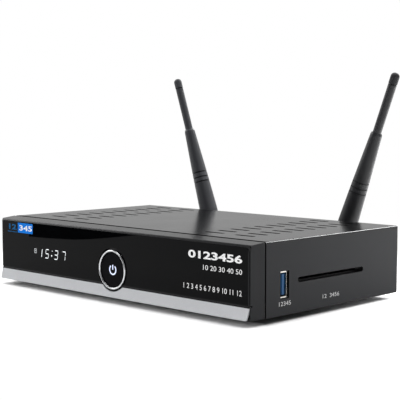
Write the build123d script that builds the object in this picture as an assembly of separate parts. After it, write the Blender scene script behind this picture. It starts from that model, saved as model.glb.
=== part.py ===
from build123d import *
import math
import os

# Satellite TV receiver: a flat sheet-metal box with a plastic fascia, a clock display, a power
# button, a card slot and a USB port on its right side, and two hinged antennas on its back.
#
# Lengths are millimetres and angles are degrees.  The case frame, in which every piece is drawn,
# has X = 0 on the centre line (+X is the right side seen from the front), Y = 0 at the top
# cover's front edge (+Y is the back) and Z = 0 at the cover's bottom edge.  export_nodes() moves
# all pieces together, so that the origin lies under the middle of the receiver at floor level.

# ---- driving dimensions -------------------------------------------------------------------

WIDTH = 220.0            # across the cover and the fascia
COVER_DEPTH = 120.6      # front to back of the sheet-metal cover
COVER_HEIGHT = 40.4
TOP_SETBACK = 2.0        # the top's front edge behind the front edges of the sides
SHEET = 0.8              # thickness of the cover and the tray
BEND = 1.0               # outside radius of the cover's long top bends
FOOT_HEIGHT = 3.5        # the feet below the cover's bottom edge

FASCIA_DEPTH = 11.8      # window plane in front of the cover's front edge
FASCIA_GAP = 1.0         # shadow groove between the fascia and the cover
FASCIA_KICK = 1.9        # how far the foot of the trim comes forward of the window plane
FASCIA_TOP_FRONT = 39.5  # the fascia's top slopes down to this height
FASCIA_TOP_BACK = 40.35
FASCIA_BOTTOM = 0.3
FASCIA_FRONT_HALF = 109.3    # the fascia's sides draw in to this at the bezel's plane
FASCIA_CHAMFER = 0.25    # down the two front vertical edges
FASCIA_CORNER = 2.0      # round upper corners of the front, as deep as CORNER_DEPTH
CORNER_DEPTH = 0.5
NOTCH_HEIGHT = 0.8       # small notches in both front edges, just above the trim
NOTCH_DEPTH = 1.6
BEZEL_BACK = 0.3         # bezel behind the window plane
BEZEL_TOP = 38.4         # the bezel leans back above this height

WINDOW_HALF_WIDTH = 108.6
WINDOW_BOTTOM = 8.0
WINDOW_TOP = 38.3
WINDOW_CORNER = 3.0
WINDOW_THICK = 1.5

TRIM_TOP = 7.3
TRIM_THICK = 1.1
TRIM_PROUD = 0.3         # the trim's foot stands out from the fascia by this much
RING_GROOVE = 12.9       # radius of the window's and the trim's opening round the ring

BUTTON_X = 1.4
BUTTON_Z = 16.3
RING_RADIUS = 11.65
RING_WIDTH = 1.1
RING_ROUND = 0.5         # on both edges of the ring's front
RING_PROUD = 0.7         # ring in front of the window plane
BUTTON_DISH = 1.0        # button face behind the ring's front
BUTTON_TRAVEL = 0.8
BUTTON_STEM = 2.5        # radius of the stem that reaches the switch

CARD_SLOT_Y = (26.2, 85.7)
CARD_SLOT_Z = (16.4, 19.3)
SIDE_USB_Y = (11.6, 18.8)
SIDE_USB_Z = (9.0, 23.8)

VENT_LENGTH = 14.5
VENT_WIDTH = 3.0
VENT_COLUMNS = (-83.3, -60.3, 58.0, 81.0)
VENT_ROWS = 10
VENT_FIRST_Y = 15.7
VENT_PITCH = 10.55

BOARD_TOP = 7.7          # upper face of the main board
BOARD_THICK = 1.6

ANTENNA_X = 56.3
ANTENNA_Z = 22.0         # antenna socket axis
ANTENNA_BACK = 14.63     # elbow pin behind the cover's back edge
LEFT_LEAN = -18.9        # masts lean outward, turned about the socket axis
RIGHT_LEAN = 20.5
MAST_RADIUS = 6.4        # thickest part of the sleeve

# ---- worked out from the driving dimensions ------------------------------------------------

HALF = WIDTH / 2
INSIDE = HALF - SHEET                     # inner face of the cover's sides
ROOF = COVER_HEIGHT - SHEET               # inner face of the cover's top
REAR_FACE = COVER_DEPTH - SHEET           # outer face of the tray's rear wall
REAR_INNER = REAR_FACE - SHEET
FRONT = -FASCIA_DEPTH                     # window plane
TRAY_HALF = INSIDE - 0.3
TRAY_FLOOR = FASCIA_BOTTOM + SHEET        # upper face of the tray's floor
FRONT_WALL = 5.0                          # front face of the tray's front wall
WINDOW_SEAT = FRONT + WINDOW_THICK        # plane that the window is glued to
PLATE_BACK = WINDOW_SEAT + 1.5            # back of the fascia's front plate
RING_FRONT = FRONT - RING_PROUD
BUTTON_FACE = RING_FRONT + BUTTON_DISH
BUTTON_BACK = BUTTON_FACE + 1.7
FRONT_BOARD = 0.5                         # front face of the front board
ANTENNA_Y = COVER_DEPTH + ANTENNA_BACK
CASE_Y = (FASCIA_DEPTH + FASCIA_KICK - ANTENNA_Y - MAST_RADIUS) / 2
CASE_Z = FOOT_HEIGHT

# ---- case: screws, and the places of the front pieces ---------------------------------------

COVER_SCREW_X = (-90.0, 0.0, 90.0)
COVER_SCREW_Z = COVER_HEIGHT - 4.2
COVER_FLANGE = 8.0           # rear flange of the cover, bent down over the rear wall
SCREW_RADIUS = 1.25
SCREW_HEAD = 2.8             # radius of the heads of the case's screws
FASCIA_SCREWS = [(-98.0, 31.0), (98.0, 31.0), (-98.0, 12.0), (98.0, 12.0)]
FRONT_BOARD_SCREWS = [(-86.0, 33.0), (86.0, 33.0), (-86.0, 13.0), (86.0, 13.0)]
FEET = [(-92.0, 16.0), (92.0, 16.0), (-92.0, 105.0), (92.0, 105.0)]
FOOT_RADIUS = 6.0

DISPLAY_X = (-78.0, -39.0)
DISPLAY_Z = (14.0, 27.0)
INFRARED_X, INFRARED_Z = 26.0, 20.0
RIBBON_X = (-20.0, 0.0)

SYMBOL_OUTER = 3.15          # radii of the power symbol's open ring
SYMBOL_INNER = 2.3
SYMBOL_GAP = 40.0            # half the angle of the ring's gap
SYMBOL_BAR = 0.45            # half the width of the bar in the gap
SYMBOL_BAR_TOP = 2.9         # top of the bar above the button's centre
SYMBOL_DEPTH = 0.6
PLUNGER = (-6.0, -2.2)       # front and back of the switch plunger
PLUNGER_RADIUS = 1.7

# ---- main board -----------------------------------------------------------------------------

STANDOFFS = [(-92.0, 16.0), (-92.0, 92.0), (0.0, 24.0), (24.0, 92.0), (60.0, 16.0), (96.0, 92.0)]
BOARD_SCREW_RADIUS = 1.5
CHIP = (-12.0, 56.0)         # middle of the processor
CHIP_HEIGHT = 1.6
SINK_HALF = 19.0
CAPACITORS = [(-88, 34, 5, 13), (-74, 34, 5, 13), (-60, 34, 4, 11),      # x, y, radius, height
              (-88, 50, 4, 11), (-76, 50, 3.2, 8), (-46, 30, 3.2, 8)]
INDUCTORS = [(-64, 52), (-52, 74), (-92, 66)]
TUNER_HEIGHT = 16.0

# ---- rear connectors: x of each axis, and z where it isn't set by the board -------------------

DC_X, DC_Z = -97.0, 14.2
ROCKER_X, ROCKER_Z = -80.0, 21.0
ROCKER_AXIS_Y = REAR_FACE - 1.4
ROCKER_TILT = 8.0
F_CONNECTOR_X = (-36.0, -18.0)
F_BARREL = 4.9               # radius where the barrel passes the wall and its nut
F_THREAD = 4.7               # radius over the thread that the plug screws onto
F_THREAD_START = 2.0         # behind the rear wall
F_LENGTH = 7.2               # from the rear wall to the barrel's end
TUNER_Z = 15.7
AERIAL_X = 4.0
AERIAL_RADIUS = 5.9
HDMI_X = 22.0
OPTICAL_X = 36.0
OPTICAL_AXIS = (REAR_FACE - 0.4, BOARD_TOP + 8.3)    # y and z of the shutter's pins
AV_X, AV_Z = 46.5, 12.2
AV_BACK = REAR_FACE + 1.4
AV_BORE = 1.8
LAN_X = 76.0
LAN_OPENING_X = (LAN_X - 5.9, LAN_X + 5.9)
LAN_OPENING_Z = (BOARD_TOP + 3.0, BOARD_TOP + 10.2)
REAR_USB_X = 94.0
CARD_POCKET_Z = (16.9, 18.8)
SMA_END = COVER_DEPTH + 6.4  # end of the sockets that the antennas screw onto
SMA_RADIUS = 3.17
SMA_INNER_END = 112.0

# ---- antennas, drawn upright round the elbow pin ----------------------------------------------

HUB_RADIUS = 6.3
HUB_FRONT = SMA_END - 4.6 - ANTENNA_Y
EAR_RADIUS = 6.1
FORK_HALF = 6.6
TONGUE_HALF = 2.6
TONGUE_RADIUS = 5.2
PIN_RADIUS = 1.5
PIN_HALF = 5.2
COUPLING_RADIUS = 4.9        # of the brass nut inside the foot
COUPLING_LENGTH = 3.6
SLEEVE_BOTTOM = 8.5
SLEEVE_TOP = 78.6
GROOVES = [(38.7, 5.62), (42.0, 5.49), (45.7, 5.32)]     # height and radius of the sleeve there
WHIP_RADIUS = 2.7
WHIP_SOCKET = 10.0           # depth of the whip in the sleeve
WHIP_END = 110.4             # the whip's shoulder, just under the cap
SPIGOT_RADIUS = 1.9          # of the whip's turned end inside the cap
CAP_RADIUS = 2.8
CAP_BOTTOM = 110.8
CAP_SOCKET = 4.0             # depth of the spigot in the cap
MAST_TOP = 118.0


# ---- small shape helpers -------------------------------------------------------------------

def block(x, y, z):
    """A box between two values along each axis."""
    size = [b - a for a, b in (x, y, z)]
    middle = [(a + b) / 2 for a, b in (x, y, z)]
    return Pos(*middle) * Box(*size)


def rod_x(y, z, radius, x0, x1):
    """A cylinder along X."""
    return Pos((x0 + x1) / 2, y, z) * Rot(0, 90, 0) * Cylinder(radius, x1 - x0)


def rod_y(x, z, radius, y0, y1):
    """A cylinder along Y."""
    return Pos(x, (y0 + y1) / 2, z) * Rot(90, 0, 0) * Cylinder(radius, y1 - y0)


def rod_z(x, y, radius, z0, z1):
    """A cylinder along Z."""
    return Pos(x, y, (z0 + z1) / 2) * Cylinder(radius, z1 - z0)


def tube_y(x, z, outer, inner, y0, y1):
    """A tube along Y."""
    return rod_y(x, z, outer, y0, y1) - rod_y(x, z, inner, y0 - 1, y1 + 1)


def hex_y(x, z, across_flats, y0, y1):
    """A hexagonal prism along Y."""
    face = RegularPolygon(across_flats / 2, 6, major_radius=False)
    return Pos(x, y0, z) * Rot(-90, 0, 0) * extrude(face, y1 - y0)


def along_x(points, x0, x1):
    """A prism along X over a closed outline of (y, z) points."""
    outline = Polyline(*[(0, y, z) for y, z in points], close=True)
    return extrude(Pos(x0, 0, 0) * make_face(outline), x1 - x0, dir=(1, 0, 0))


def along_y(points, y0, y1):
    """A prism along Y over a closed outline of (x, z) points."""
    outline = Polyline(*[(x, 0, z) for x, z in points], close=True)
    return extrude(Pos(0, y0, 0) * make_face(outline), y1 - y0, dir=(0, 1, 0))


def slot_plate(length, width, depth):
    """A slot-shaped prism: long along X, round ends, upward from Z = 0."""
    return extrude(SlotOverall(length, width), depth)


def pan_screw_y(x, z, radius, head, under_head, tip, head_thick=1.6):
    """A pan-head screw along Y, driven forward from behind; under_head > tip."""
    screw = rod_y(x, z, radius, tip, under_head)
    screw += rod_y(x, z, head, under_head, under_head + head_thick)
    back = under_head + head_thick
    for x_size, z_size in ((2.6, 0.6), (0.6, 2.6)):
        screw -= block((x - x_size / 2, x + x_size / 2), (back - 0.8, back + 1),
                       (z - z_size / 2, z + z_size / 2))
    return screw


def pan_screw_z(x, y, radius, head, under_head, tip, head_thick=1.6):
    """A pan-head screw along Z, driven downward; under_head > tip."""
    screw = rod_z(x, y, radius, tip, under_head)
    screw += rod_z(x, y, head, under_head, under_head + head_thick)
    top = under_head + head_thick
    for x_size, y_size in ((2.6, 0.6), (0.6, 2.6)):
        screw -= block((x - x_size / 2, x + x_size / 2), (y - y_size / 2, y + y_size / 2),
                       (top - 0.8, top + 1))
    return screw


def group(solids):
    """Several separate solids kept together as one node."""
    return Compound([solid for shape in solids for solid in shape.solids()])


# ---- sheet-metal case ----------------------------------------------------------------------

def vent_slots():
    """The ventilation slots of the cover's top, as one cutting solid."""
    slots = []
    for x in VENT_COLUMNS:
        for row in range(VENT_ROWS):
            y = VENT_FIRST_Y + row * VENT_PITCH
            slots.append(Pos(x, y, ROOF - 1) * slot_plate(VENT_LENGTH, VENT_WIDTH, SHEET + 2))
    return slots


def top_cover():
    """The painted cover: top, two sides and a flange over the rear wall, bent from one sheet."""
    outer = block((-HALF, HALF), (0, COVER_DEPTH), (0, COVER_HEIGHT))
    long_bends = outer.edges().filter_by(Axis.Y).group_by(Axis.Z)[-1]
    outer = fillet(long_bends, BEND)
    rear_corners = outer.edges().filter_by(
        lambda e: abs(e.center().Y - COVER_DEPTH) < 0.01 and abs(e.center().Z) < 0.01)
    outer = fillet(rear_corners, 1.3)
    cover = outer - block((-INSIDE, INSIDE), (-1, REAR_FACE), (-1, ROOF))
    cover -= block((-INSIDE, INSIDE), (REAR_FACE - 1, COVER_DEPTH + 1),
                   (-1, COVER_HEIGHT - COVER_FLANGE))
    cover -= block((BEND - HALF, HALF - BEND), (-1, TOP_SETBACK), (ROOF - 1, COVER_HEIGHT + 1))
    cover -= vent_slots()
    slot_length = CARD_SLOT_Y[1] - CARD_SLOT_Y[0]
    slot_width = CARD_SLOT_Z[1] - CARD_SLOT_Z[0]
    card_slot = extrude(Plane.YZ * SlotOverall(slot_length, slot_width), SHEET + 4)
    cover -= Pos(INSIDE - 2, sum(CARD_SLOT_Y) / 2, sum(CARD_SLOT_Z) / 2) * card_slot
    cover -= block((INSIDE - 2, HALF + 2), SIDE_USB_Y, SIDE_USB_Z)
    for x in COVER_SCREW_X:
        cover -= rod_y(x, COVER_SCREW_Z, SCREW_RADIUS, REAR_FACE - 1, COVER_DEPTH + 1)
    return cover


def rear_openings():
    """Everything that is punched out of the tray's rear wall."""
    y = (REAR_INNER - 1, REAR_FACE + 1)
    cuts = [rod_y(x, COVER_SCREW_Z, SCREW_RADIUS, *y) for x in COVER_SCREW_X]
    cuts += [rod_y(side * ANTENNA_X, ANTENNA_Z, 3.3, *y) for side in (-1, 1)]
    cuts += [rod_y(x, TUNER_Z, F_BARREL + 0.2, *y) for x in F_CONNECTOR_X]
    cuts.append(rod_y(AERIAL_X, TUNER_Z, AERIAL_RADIUS + 0.2, *y))
    cuts.append(rod_y(DC_X, DC_Z, 4.7, *y))
    cuts.append(rod_y(AV_X, AV_Z, 3.9, *y))
    cuts.append(block((ROCKER_X - 6.6, ROCKER_X + 6.6), y, (ROCKER_Z - 9.6, ROCKER_Z + 9.6)))
    cuts.append(block((HDMI_X - 7.8, HDMI_X + 7.8), y, (BOARD_TOP + 0.2, BOARD_TOP + 6.6)))
    cuts.append(block((OPTICAL_X - 5.2, OPTICAL_X + 5.2), y, (BOARD_TOP - 0.2, BOARD_TOP + 10.2)))
    cuts.append(block((LAN_X - 8.2, LAN_X + 8.2), y, (BOARD_TOP - 0.2, BOARD_TOP + 13.7)))
    cuts.append(block((REAR_USB_X - 7.0, REAR_USB_X + 7.0), y,
                      (BOARD_TOP - 0.2, BOARD_TOP + 15.8)))
    return cuts


def base_tray():
    """The steel tray: floor, rear wall, low side flanges and a front wall for the fascia."""
    back = REAR_FACE
    tray = block((-TRAY_HALF, TRAY_HALF), (0.2, back), (FASCIA_BOTTOM, TRAY_FLOOR))
    tray += block((-TRAY_HALF, TRAY_HALF), (REAR_INNER, back), (FASCIA_BOTTOM, ROOF - 0.3))
    tray += block((-103, 103), (FRONT_WALL, FRONT_WALL + SHEET), (FASCIA_BOTTOM, 35))
    for x in (-TRAY_HALF, TRAY_HALF - SHEET):
        tray += block((x, x + SHEET), (FRONT_WALL + 3, back), (FASCIA_BOTTOM, 7.5))
    tray -= block((-26, 6), (FRONT_WALL - 1, FRONT_WALL + 2), (10, 19))
    tray -= block((-60, 60), (FRONT_WALL - 1, FRONT_WALL + 2), (23, 31))
    tray -= rear_openings()
    for x, z in FASCIA_SCREWS:
        tray -= rod_y(x, z, SCREW_RADIUS, FRONT_WALL - 1, FRONT_WALL + 2)
    for x in (-60, -36, -12, 12, 36, 60):
        for row in range(5):
            y = 36 + row * 10
            tray -= Pos(x, y, FASCIA_BOTTOM - 1) * slot_plate(VENT_LENGTH, VENT_WIDTH, SHEET + 2)
    return tray


def feet():
    """Four round rubber feet under the tray."""
    discs = []
    for x, y in FEET:
        foot = rod_z(x, y, FOOT_RADIUS, -FOOT_HEIGHT, FASCIA_BOTTOM)
        discs.append(chamfer(foot.edges().filter_by(GeomType.CIRCLE).group_by(Axis.Z)[0], 0.6))
    return group(discs)


def cover_screws():
    """Three screws through the cover's rear flange into the rear wall."""
    return group([pan_screw_y(x, COVER_SCREW_Z, SCREW_RADIUS, SCREW_HEAD, COVER_DEPTH,
                              COVER_DEPTH - 6) for x in COVER_SCREW_X])


# ---- fascia --------------------------------------------------------------------------------

def window_shape(half_width, bottom, top, y0, y1):
    """The window's outline: round upper corners, small lower ones."""
    plate = block((-half_width, half_width), (y0, y1), (bottom, top))
    upper = plate.edges().filter_by(Axis.Y).group_by(Axis.Z)[-1]
    plate = fillet(upper, WINDOW_CORNER)
    lower = plate.edges().filter_by(Axis.Y).group_by(Axis.Z)[0]
    return fillet(lower, 0.8)


def foot_outline():
    """The front outline of the trim and of the fascia's foot behind it: narrower at the bottom."""
    right = [(109.1, TRIM_TOP + 1), (108.1, FASCIA_BOTTOM + 0.8), (107.8, FASCIA_BOTTOM + 0.2),
             (107.2, FASCIA_BOTTOM)]
    left = [(-x, z) for x, z in reversed(right)]
    return along_y(right + left, FRONT - 5, FRONT + 5)


def trim_blank():
    """The trim strip before its cutout: a slanted plate, from the foot back to the bezel."""
    low = FASCIA_BOTTOM
    crest = FRONT + BEZEL_BACK
    foot = FRONT - FASCIA_KICK
    strip = along_x([(crest, TRIM_TOP), (foot, low), (foot + TRIM_THICK, low),
                     (crest + TRIM_THICK, TRIM_TOP)], -HALF, HALF)
    crest_edge = strip.edges().filter_by(
        lambda e: abs(e.center().Y - crest) < 0.01 and abs(e.center().Z - TRIM_TOP) < 0.01)
    strip = fillet(crest_edge, 0.4)
    return strip & foot_outline()


def fascia_frame():
    """The moulded fascia: bezel, front plate, posts and the lip that slides under the cover."""
    foot = FRONT - FASCIA_KICK + TRIM_PROUD
    bezel = FRONT + BEZEL_BACK
    frame = along_x([(-FASCIA_GAP, FASCIA_BOTTOM), (foot, FASCIA_BOTTOM), (bezel, TRIM_TOP + 0.1),
                     (bezel, FASCIA_TOP_FRONT), (-FASCIA_GAP, FASCIA_TOP_BACK)], -HALF, HALF)
    foot_space = block((-HALF - 1, HALF + 1), (foot - 1, bezel), (FASCIA_BOTTOM, TRIM_TOP + 0.1))
    frame -= foot_space - foot_outline()
    draft = [(HALF, -FASCIA_GAP), (FASCIA_FRONT_HALF, bezel + FASCIA_CHAMFER),
             (FASCIA_FRONT_HALF - FASCIA_CHAMFER, bezel), (FASCIA_FRONT_HALF, bezel - 1),
             (HALF + 1, bezel - 1), (HALF + 1, -FASCIA_GAP)]
    for side in (-1, 1):
        outline = Polyline(*[(side * x, y, 0) for x, y in draft], close=True)
        frame -= extrude(make_face(outline), COVER_HEIGHT + 1, dir=(0, 0, 1))
        edge = sorted((side * (FASCIA_FRONT_HALF - 0.9), side * (HALF + 1)))
        frame -= block(edge, (bezel - 1, bezel + NOTCH_DEPTH), (TRIM_TOP, TRIM_TOP + NOTCH_HEIGHT))
    slope = (FASCIA_TOP_BACK - FASCIA_TOP_FRONT) / (-FASCIA_GAP - bezel)
    rounding = [(bezel - 1, BEZEL_TOP), (bezel, BEZEL_TOP), (bezel + 0.4, BEZEL_TOP + 0.75),
                (bezel + 1, FASCIA_TOP_FRONT + slope), (bezel + 1, COVER_HEIGHT),
                (bezel - 1, COVER_HEIGHT)]
    frame -= along_x(rounding, -HALF - 1, HALF + 1)
    corner_z = FASCIA_TOP_FRONT - FASCIA_CORNER
    for side in (-1, 1):
        corner_x = side * (FASCIA_FRONT_HALF - FASCIA_CORNER)
        corner = block(sorted((corner_x, side * (HALF + 1))), (bezel - 1, bezel + CORNER_DEPTH),
                       (corner_z, COVER_HEIGHT))
        frame -= corner - rod_y(corner_x, corner_z, FASCIA_CORNER, FRONT - 2, FRONT + 3)
    frame -= block((-107.6, 107.6), (PLATE_BACK, 0), (FASCIA_BOTTOM + 2, 37.6))
    frame -= window_shape(WINDOW_HALF_WIDTH, WINDOW_BOTTOM, WINDOW_TOP, FRONT - 1, WINDOW_SEAT)
    frame -= trim_blank()
    # lip under the cover: top and sides
    lip_end = 4.0
    lip_top = ROOF - 0.3
    frame += block((-TRAY_HALF, TRAY_HALF), (-FASCIA_GAP, lip_end), (lip_top - 1.2, lip_top))
    for x in (-TRAY_HALF, TRAY_HALF - 1.2):
        frame += block((x, x + 1.2), (-FASCIA_GAP, lip_end), (9, lip_top))
    # posts for the tray's screws and for the front board
    for x, z in FASCIA_SCREWS:
        frame += rod_y(x, z, 3.0, PLATE_BACK, FRONT_WALL)
        frame -= rod_y(x, z, SCREW_RADIUS, FRONT_WALL - 7, FRONT_WALL + 1)
    for x, z in FRONT_BOARD_SCREWS:
        frame += rod_y(x, z, 2.5, PLATE_BACK, FRONT_BOARD)
        frame -= rod_y(x, z, 1.0, FRONT_BOARD - 5, FRONT_BOARD + 1)
    # seat and guide of the power button
    frame += rod_y(BUTTON_X, BUTTON_Z, RING_RADIUS + 1.2, PLATE_BACK - 0.5, PLATE_BACK + 1.6)
    frame -= rod_y(BUTTON_X, BUTTON_Z, RING_RADIUS, FRONT - 3, PLATE_BACK)
    frame -= rod_y(BUTTON_X, BUTTON_Z, BUTTON_STEM + 0.06, PLATE_BACK - 1, PLATE_BACK + 3)
    # openings behind the window for the display and the infrared receiver
    frame -= block((DISPLAY_X[0] - 0.4, DISPLAY_X[1] + 0.4), (FRONT, PLATE_BACK + 1),
                   (DISPLAY_Z[0] - 0.4, DISPLAY_Z[1] + 0.4))
    frame -= rod_y(INFRARED_X, INFRARED_Z, 3.2, FRONT, PLATE_BACK + 1)
    return frame


def display_window():
    """The dark acrylic window, proud of the bezel and open round the button ring."""
    play = 0.05
    window = window_shape(WINDOW_HALF_WIDTH - play, WINDOW_BOTTOM + play, WINDOW_TOP - play,
                          FRONT, WINDOW_SEAT)
    return window - rod_y(BUTTON_X, BUTTON_Z, RING_GROOVE, FRONT - 1, WINDOW_SEAT + 1)


def trim_strip():
    """The silver strip along the foot of the fascia, cut out round the button ring."""
    return trim_blank() - rod_y(BUTTON_X, BUTTON_Z, RING_GROOVE, FRONT - 5, FRONT + 5)


def button_ring():
    """The polished ring round the power button."""
    ring = tube_y(BUTTON_X, BUTTON_Z, RING_RADIUS, RING_RADIUS - RING_WIDTH,
                  RING_FRONT, PLATE_BACK)
    rims = ring.edges().filter_by(GeomType.CIRCLE).group_by(Axis.Y)[0]
    return fillet(rims, RING_ROUND)


def symbol_shape(y0, y1):
    """The power symbol: an open ring with a bar standing in the gap."""
    arc = tube_y(BUTTON_X, BUTTON_Z, SYMBOL_OUTER, SYMBOL_INNER, y0, y1)
    reach = SYMBOL_OUTER + 1.5
    gap = math.tan(math.radians(SYMBOL_GAP)) * reach
    arc -= along_y([(BUTTON_X, BUTTON_Z), (BUTTON_X + gap, BUTTON_Z + reach),
                    (BUTTON_X - gap, BUTTON_Z + reach)], y0 - 1, y1 + 1)
    bar = block((BUTTON_X - SYMBOL_BAR, BUTTON_X + SYMBOL_BAR), (y0, y1),
                (BUTTON_Z, BUTTON_Z + SYMBOL_BAR_TOP))
    return [arc, bar]


def power_button():
    """The button cap with its stem; the symbol is let into its face."""
    cap = rod_y(BUTTON_X, BUTTON_Z, RING_RADIUS - RING_WIDTH - 0.25, BUTTON_FACE, BUTTON_BACK)
    cap = fillet(cap.edges().filter_by(GeomType.CIRCLE).group_by(Axis.Y)[0], 0.4)
    cap += rod_y(BUTTON_X, BUTTON_Z, BUTTON_STEM, BUTTON_BACK - 0.1, PLUNGER[0])
    return cap - symbol_shape(BUTTON_FACE - 1, BUTTON_FACE + SYMBOL_DEPTH)


def power_symbol():
    """The clear insert that lights up in the button's face."""
    return group(symbol_shape(BUTTON_FACE, BUTTON_FACE + SYMBOL_DEPTH))


def switch_plunger():
    """The push-button switch's plunger, pressed by the stem."""
    return rod_y(BUTTON_X, BUTTON_Z, PLUNGER_RADIUS, *PLUNGER)


def push_switch():
    """The push-button switch behind the power button."""
    body = block((BUTTON_X - 3, BUTTON_X + 3), (PLUNGER[1] - 1.0, FRONT_BOARD),
                 (BUTTON_Z - 3, BUTTON_Z + 3))
    bore_end = PLUNGER[1] + BUTTON_TRAVEL + 0.2
    return body - rod_y(BUTTON_X, BUTTON_Z, PLUNGER_RADIUS + 0.06, PLUNGER[1] - 2, bore_end)


def front_board():
    """The printed board behind the fascia."""
    board = block((-92, 92), (FRONT_BOARD, FRONT_BOARD + BOARD_THICK), (9, 36))
    for x, z in FRONT_BOARD_SCREWS:
        board -= rod_y(x, z, 1.0, FRONT_BOARD - 1, FRONT_BOARD + 3)
    return board


def display_module():
    """The four-digit clock display, standing on the front board behind the window."""
    body = block(DISPLAY_X, (WINDOW_SEAT + 0.2, FRONT_BOARD), DISPLAY_Z)
    return chamfer(body.edges().filter_by(Axis.Y), 0.5)


def infrared_receiver():
    """The remote control's receiver, with its lens towards the window."""
    body = block((INFRARED_X - 3, INFRARED_X + 3), (-5, FRONT_BOARD),
                 (INFRARED_Z - 3.5, INFRARED_Z + 3.5))
    return body + Pos(INFRARED_X, -5, INFRARED_Z) * Sphere(2.4)


def front_board_screws():
    """Screws that hold the front board to the fascia's posts."""
    behind = FRONT_BOARD + BOARD_THICK
    return [pan_screw_y(x, z, 1.0, 2.2, behind, behind - 5.5, 1.3) for x, z in FRONT_BOARD_SCREWS]


def fascia_screws():
    """Screws through the tray's front wall into the fascia's posts, and the front board's own."""
    behind = FRONT_WALL + SHEET
    screws = [pan_screw_y(x, z, SCREW_RADIUS, SCREW_HEAD, behind, behind - 6.5)
              for x, z in FASCIA_SCREWS]
    return group(screws + front_board_screws())


def front_ribbon():
    """The flat cable from the front board to the main board, with its plug."""
    start = FRONT_BOARD + BOARD_THICK
    cable = block(RIBBON_X, (start, 12), (14, 14.3)) + block(RIBBON_X, (11.7, 12), (9.5, 14.3))
    plug = block((RIBBON_X[0] - 1, RIBBON_X[1] + 1), (10, 14), (BOARD_TOP, BOARD_TOP + 2.4))
    return cable + plug


# ---- main board and what stands on it --------------------------------------------------------

def main_board():
    """The main printed board."""
    board = block((-100, 104), (9, 116), (BOARD_TOP - BOARD_THICK, BOARD_TOP))
    board = fillet(board.edges().filter_by(Axis.Z), 2)
    for x, y in STANDOFFS:
        board -= rod_z(x, y, BOARD_SCREW_RADIUS, 0, 20)
    return board


def board_standoffs():
    """Hexagonal spacers between the tray's floor and the main board."""
    spacer = extrude(RegularPolygon(2.75, 6, major_radius=False),
                     BOARD_TOP - BOARD_THICK - TRAY_FLOOR)
    spacers = [Pos(x, y, TRAY_FLOOR) * spacer - rod_z(x, y, BOARD_SCREW_RADIUS, 2, 20)
               for x, y in STANDOFFS]
    return group(spacers)


def board_screws():
    """Screws that hold the main board to its spacers."""
    return group([pan_screw_z(x, y, BOARD_SCREW_RADIUS, SCREW_HEAD, BOARD_TOP, BOARD_TOP - 5)
                  for x, y in STANDOFFS])


def processor():
    """The receiver's main processor."""
    x, y = CHIP
    return chamfer(block((x - 11.5, x + 11.5), (y - 11.5, y + 11.5),
                         (BOARD_TOP, BOARD_TOP + CHIP_HEIGHT)).edges().filter_by(Axis.Z), 0.8)


def heat_sink():
    """The finned heat sink on the processor."""
    x, y = CHIP
    bottom = BOARD_TOP + CHIP_HEIGHT
    sink = block((x - SINK_HALF, x + SINK_HALF), (y - SINK_HALF, y + SINK_HALF),
                 (bottom, bottom + 10))
    for i in range(9):
        left = x - SINK_HALF + 1.6 + i * 4.05
        sink -= block((left, left + 2.6), (y - SINK_HALF - 1, y + SINK_HALF + 1),
                      (bottom + 2.5, bottom + 11))
    return sink


def memory_chips():
    """Four memory chips beside the processor, and the flash chip."""
    chips = [block((x, x + 9), (y, y + 13), (BOARD_TOP, BOARD_TOP + 1.1))
             for x in (12, 24) for y in (40, 58)]
    chips.append(block((-48, -34), (50, 62), (BOARD_TOP, BOARD_TOP + 1.0)))
    return group(chips)


def capacitors():
    """Electrolytic capacitors of the power stage."""
    cans = []
    for x, y, radius, height in CAPACITORS:
        can = rod_z(x, y, radius, BOARD_TOP, BOARD_TOP + height)
        cans.append(fillet(can.edges().filter_by(GeomType.CIRCLE), 0.4))
    return group(cans)


def inductors():
    """Shielded coils of the power stage."""
    coils = []
    for x, y in INDUCTORS:
        coil = block((x - 4, x + 4), (y - 4, y + 4), (BOARD_TOP, BOARD_TOP + 4.2))
        coils.append(fillet(coil.edges().filter_by(Axis.Z), 1.2))
    return group(coils)


def tuner_can(x, y):
    """A folded tin can with a dimpled lid, standing on the board before the rear wall."""
    top = BOARD_TOP + TUNER_HEIGHT
    can = block(x, y, (BOARD_TOP, top))
    can = fillet(can.edges().filter_by(Axis.Z), 0.6)
    return can - block((x[0] + 4, x[1] - 4), (y[0] + 4, y[1] - 4), (top - 0.4, top + 1))


def satellite_tuner():
    """The twin satellite tuner's screening can."""
    can = tuner_can((-47, -8), (86, REAR_INNER))
    for x in F_CONNECTOR_X:
        can -= rod_y(x, TUNER_Z, F_BARREL, REAR_INNER - 2, REAR_INNER + 1)
    return can


def terrestrial_tuner():
    """The aerial tuner's screening can."""
    can = tuner_can((-6, 14), (88, REAR_INNER))
    return can - rod_y(AERIAL_X, TUNER_Z, AERIAL_RADIUS, REAR_INNER - 2, REAR_INNER + 1)


def f_connectors():
    """Two F sockets for the dish cables."""
    barrels = []
    for x in F_CONNECTOR_X:
        end = REAR_FACE + F_LENGTH
        start = REAR_FACE + F_THREAD_START
        barrel = rod_y(x, TUNER_Z, F_THREAD, start, end)
        barrel = chamfer(barrel.edges().filter_by(GeomType.CIRCLE).group_by(Axis.Y)[-1], 0.4)
        barrel += rod_y(x, TUNER_Z, F_BARREL, REAR_INNER - 2, start)
        barrel -= rod_y(x, TUNER_Z, 3.4, end - 0.5, end + 1)
        barrels.append(barrel - rod_y(x, TUNER_Z, 0.8, end - 6, end + 1))
    return group(barrels)


def f_connector_nuts():
    """Hexagonal nuts that hold the F sockets to the rear wall."""
    return group([hex_y(x, TUNER_Z, 12.7, REAR_FACE, REAR_FACE + 1.8)
                  - rod_y(x, TUNER_Z, F_BARREL, REAR_FACE - 1, REAR_FACE + 3)
                  for x in F_CONNECTOR_X])


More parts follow.
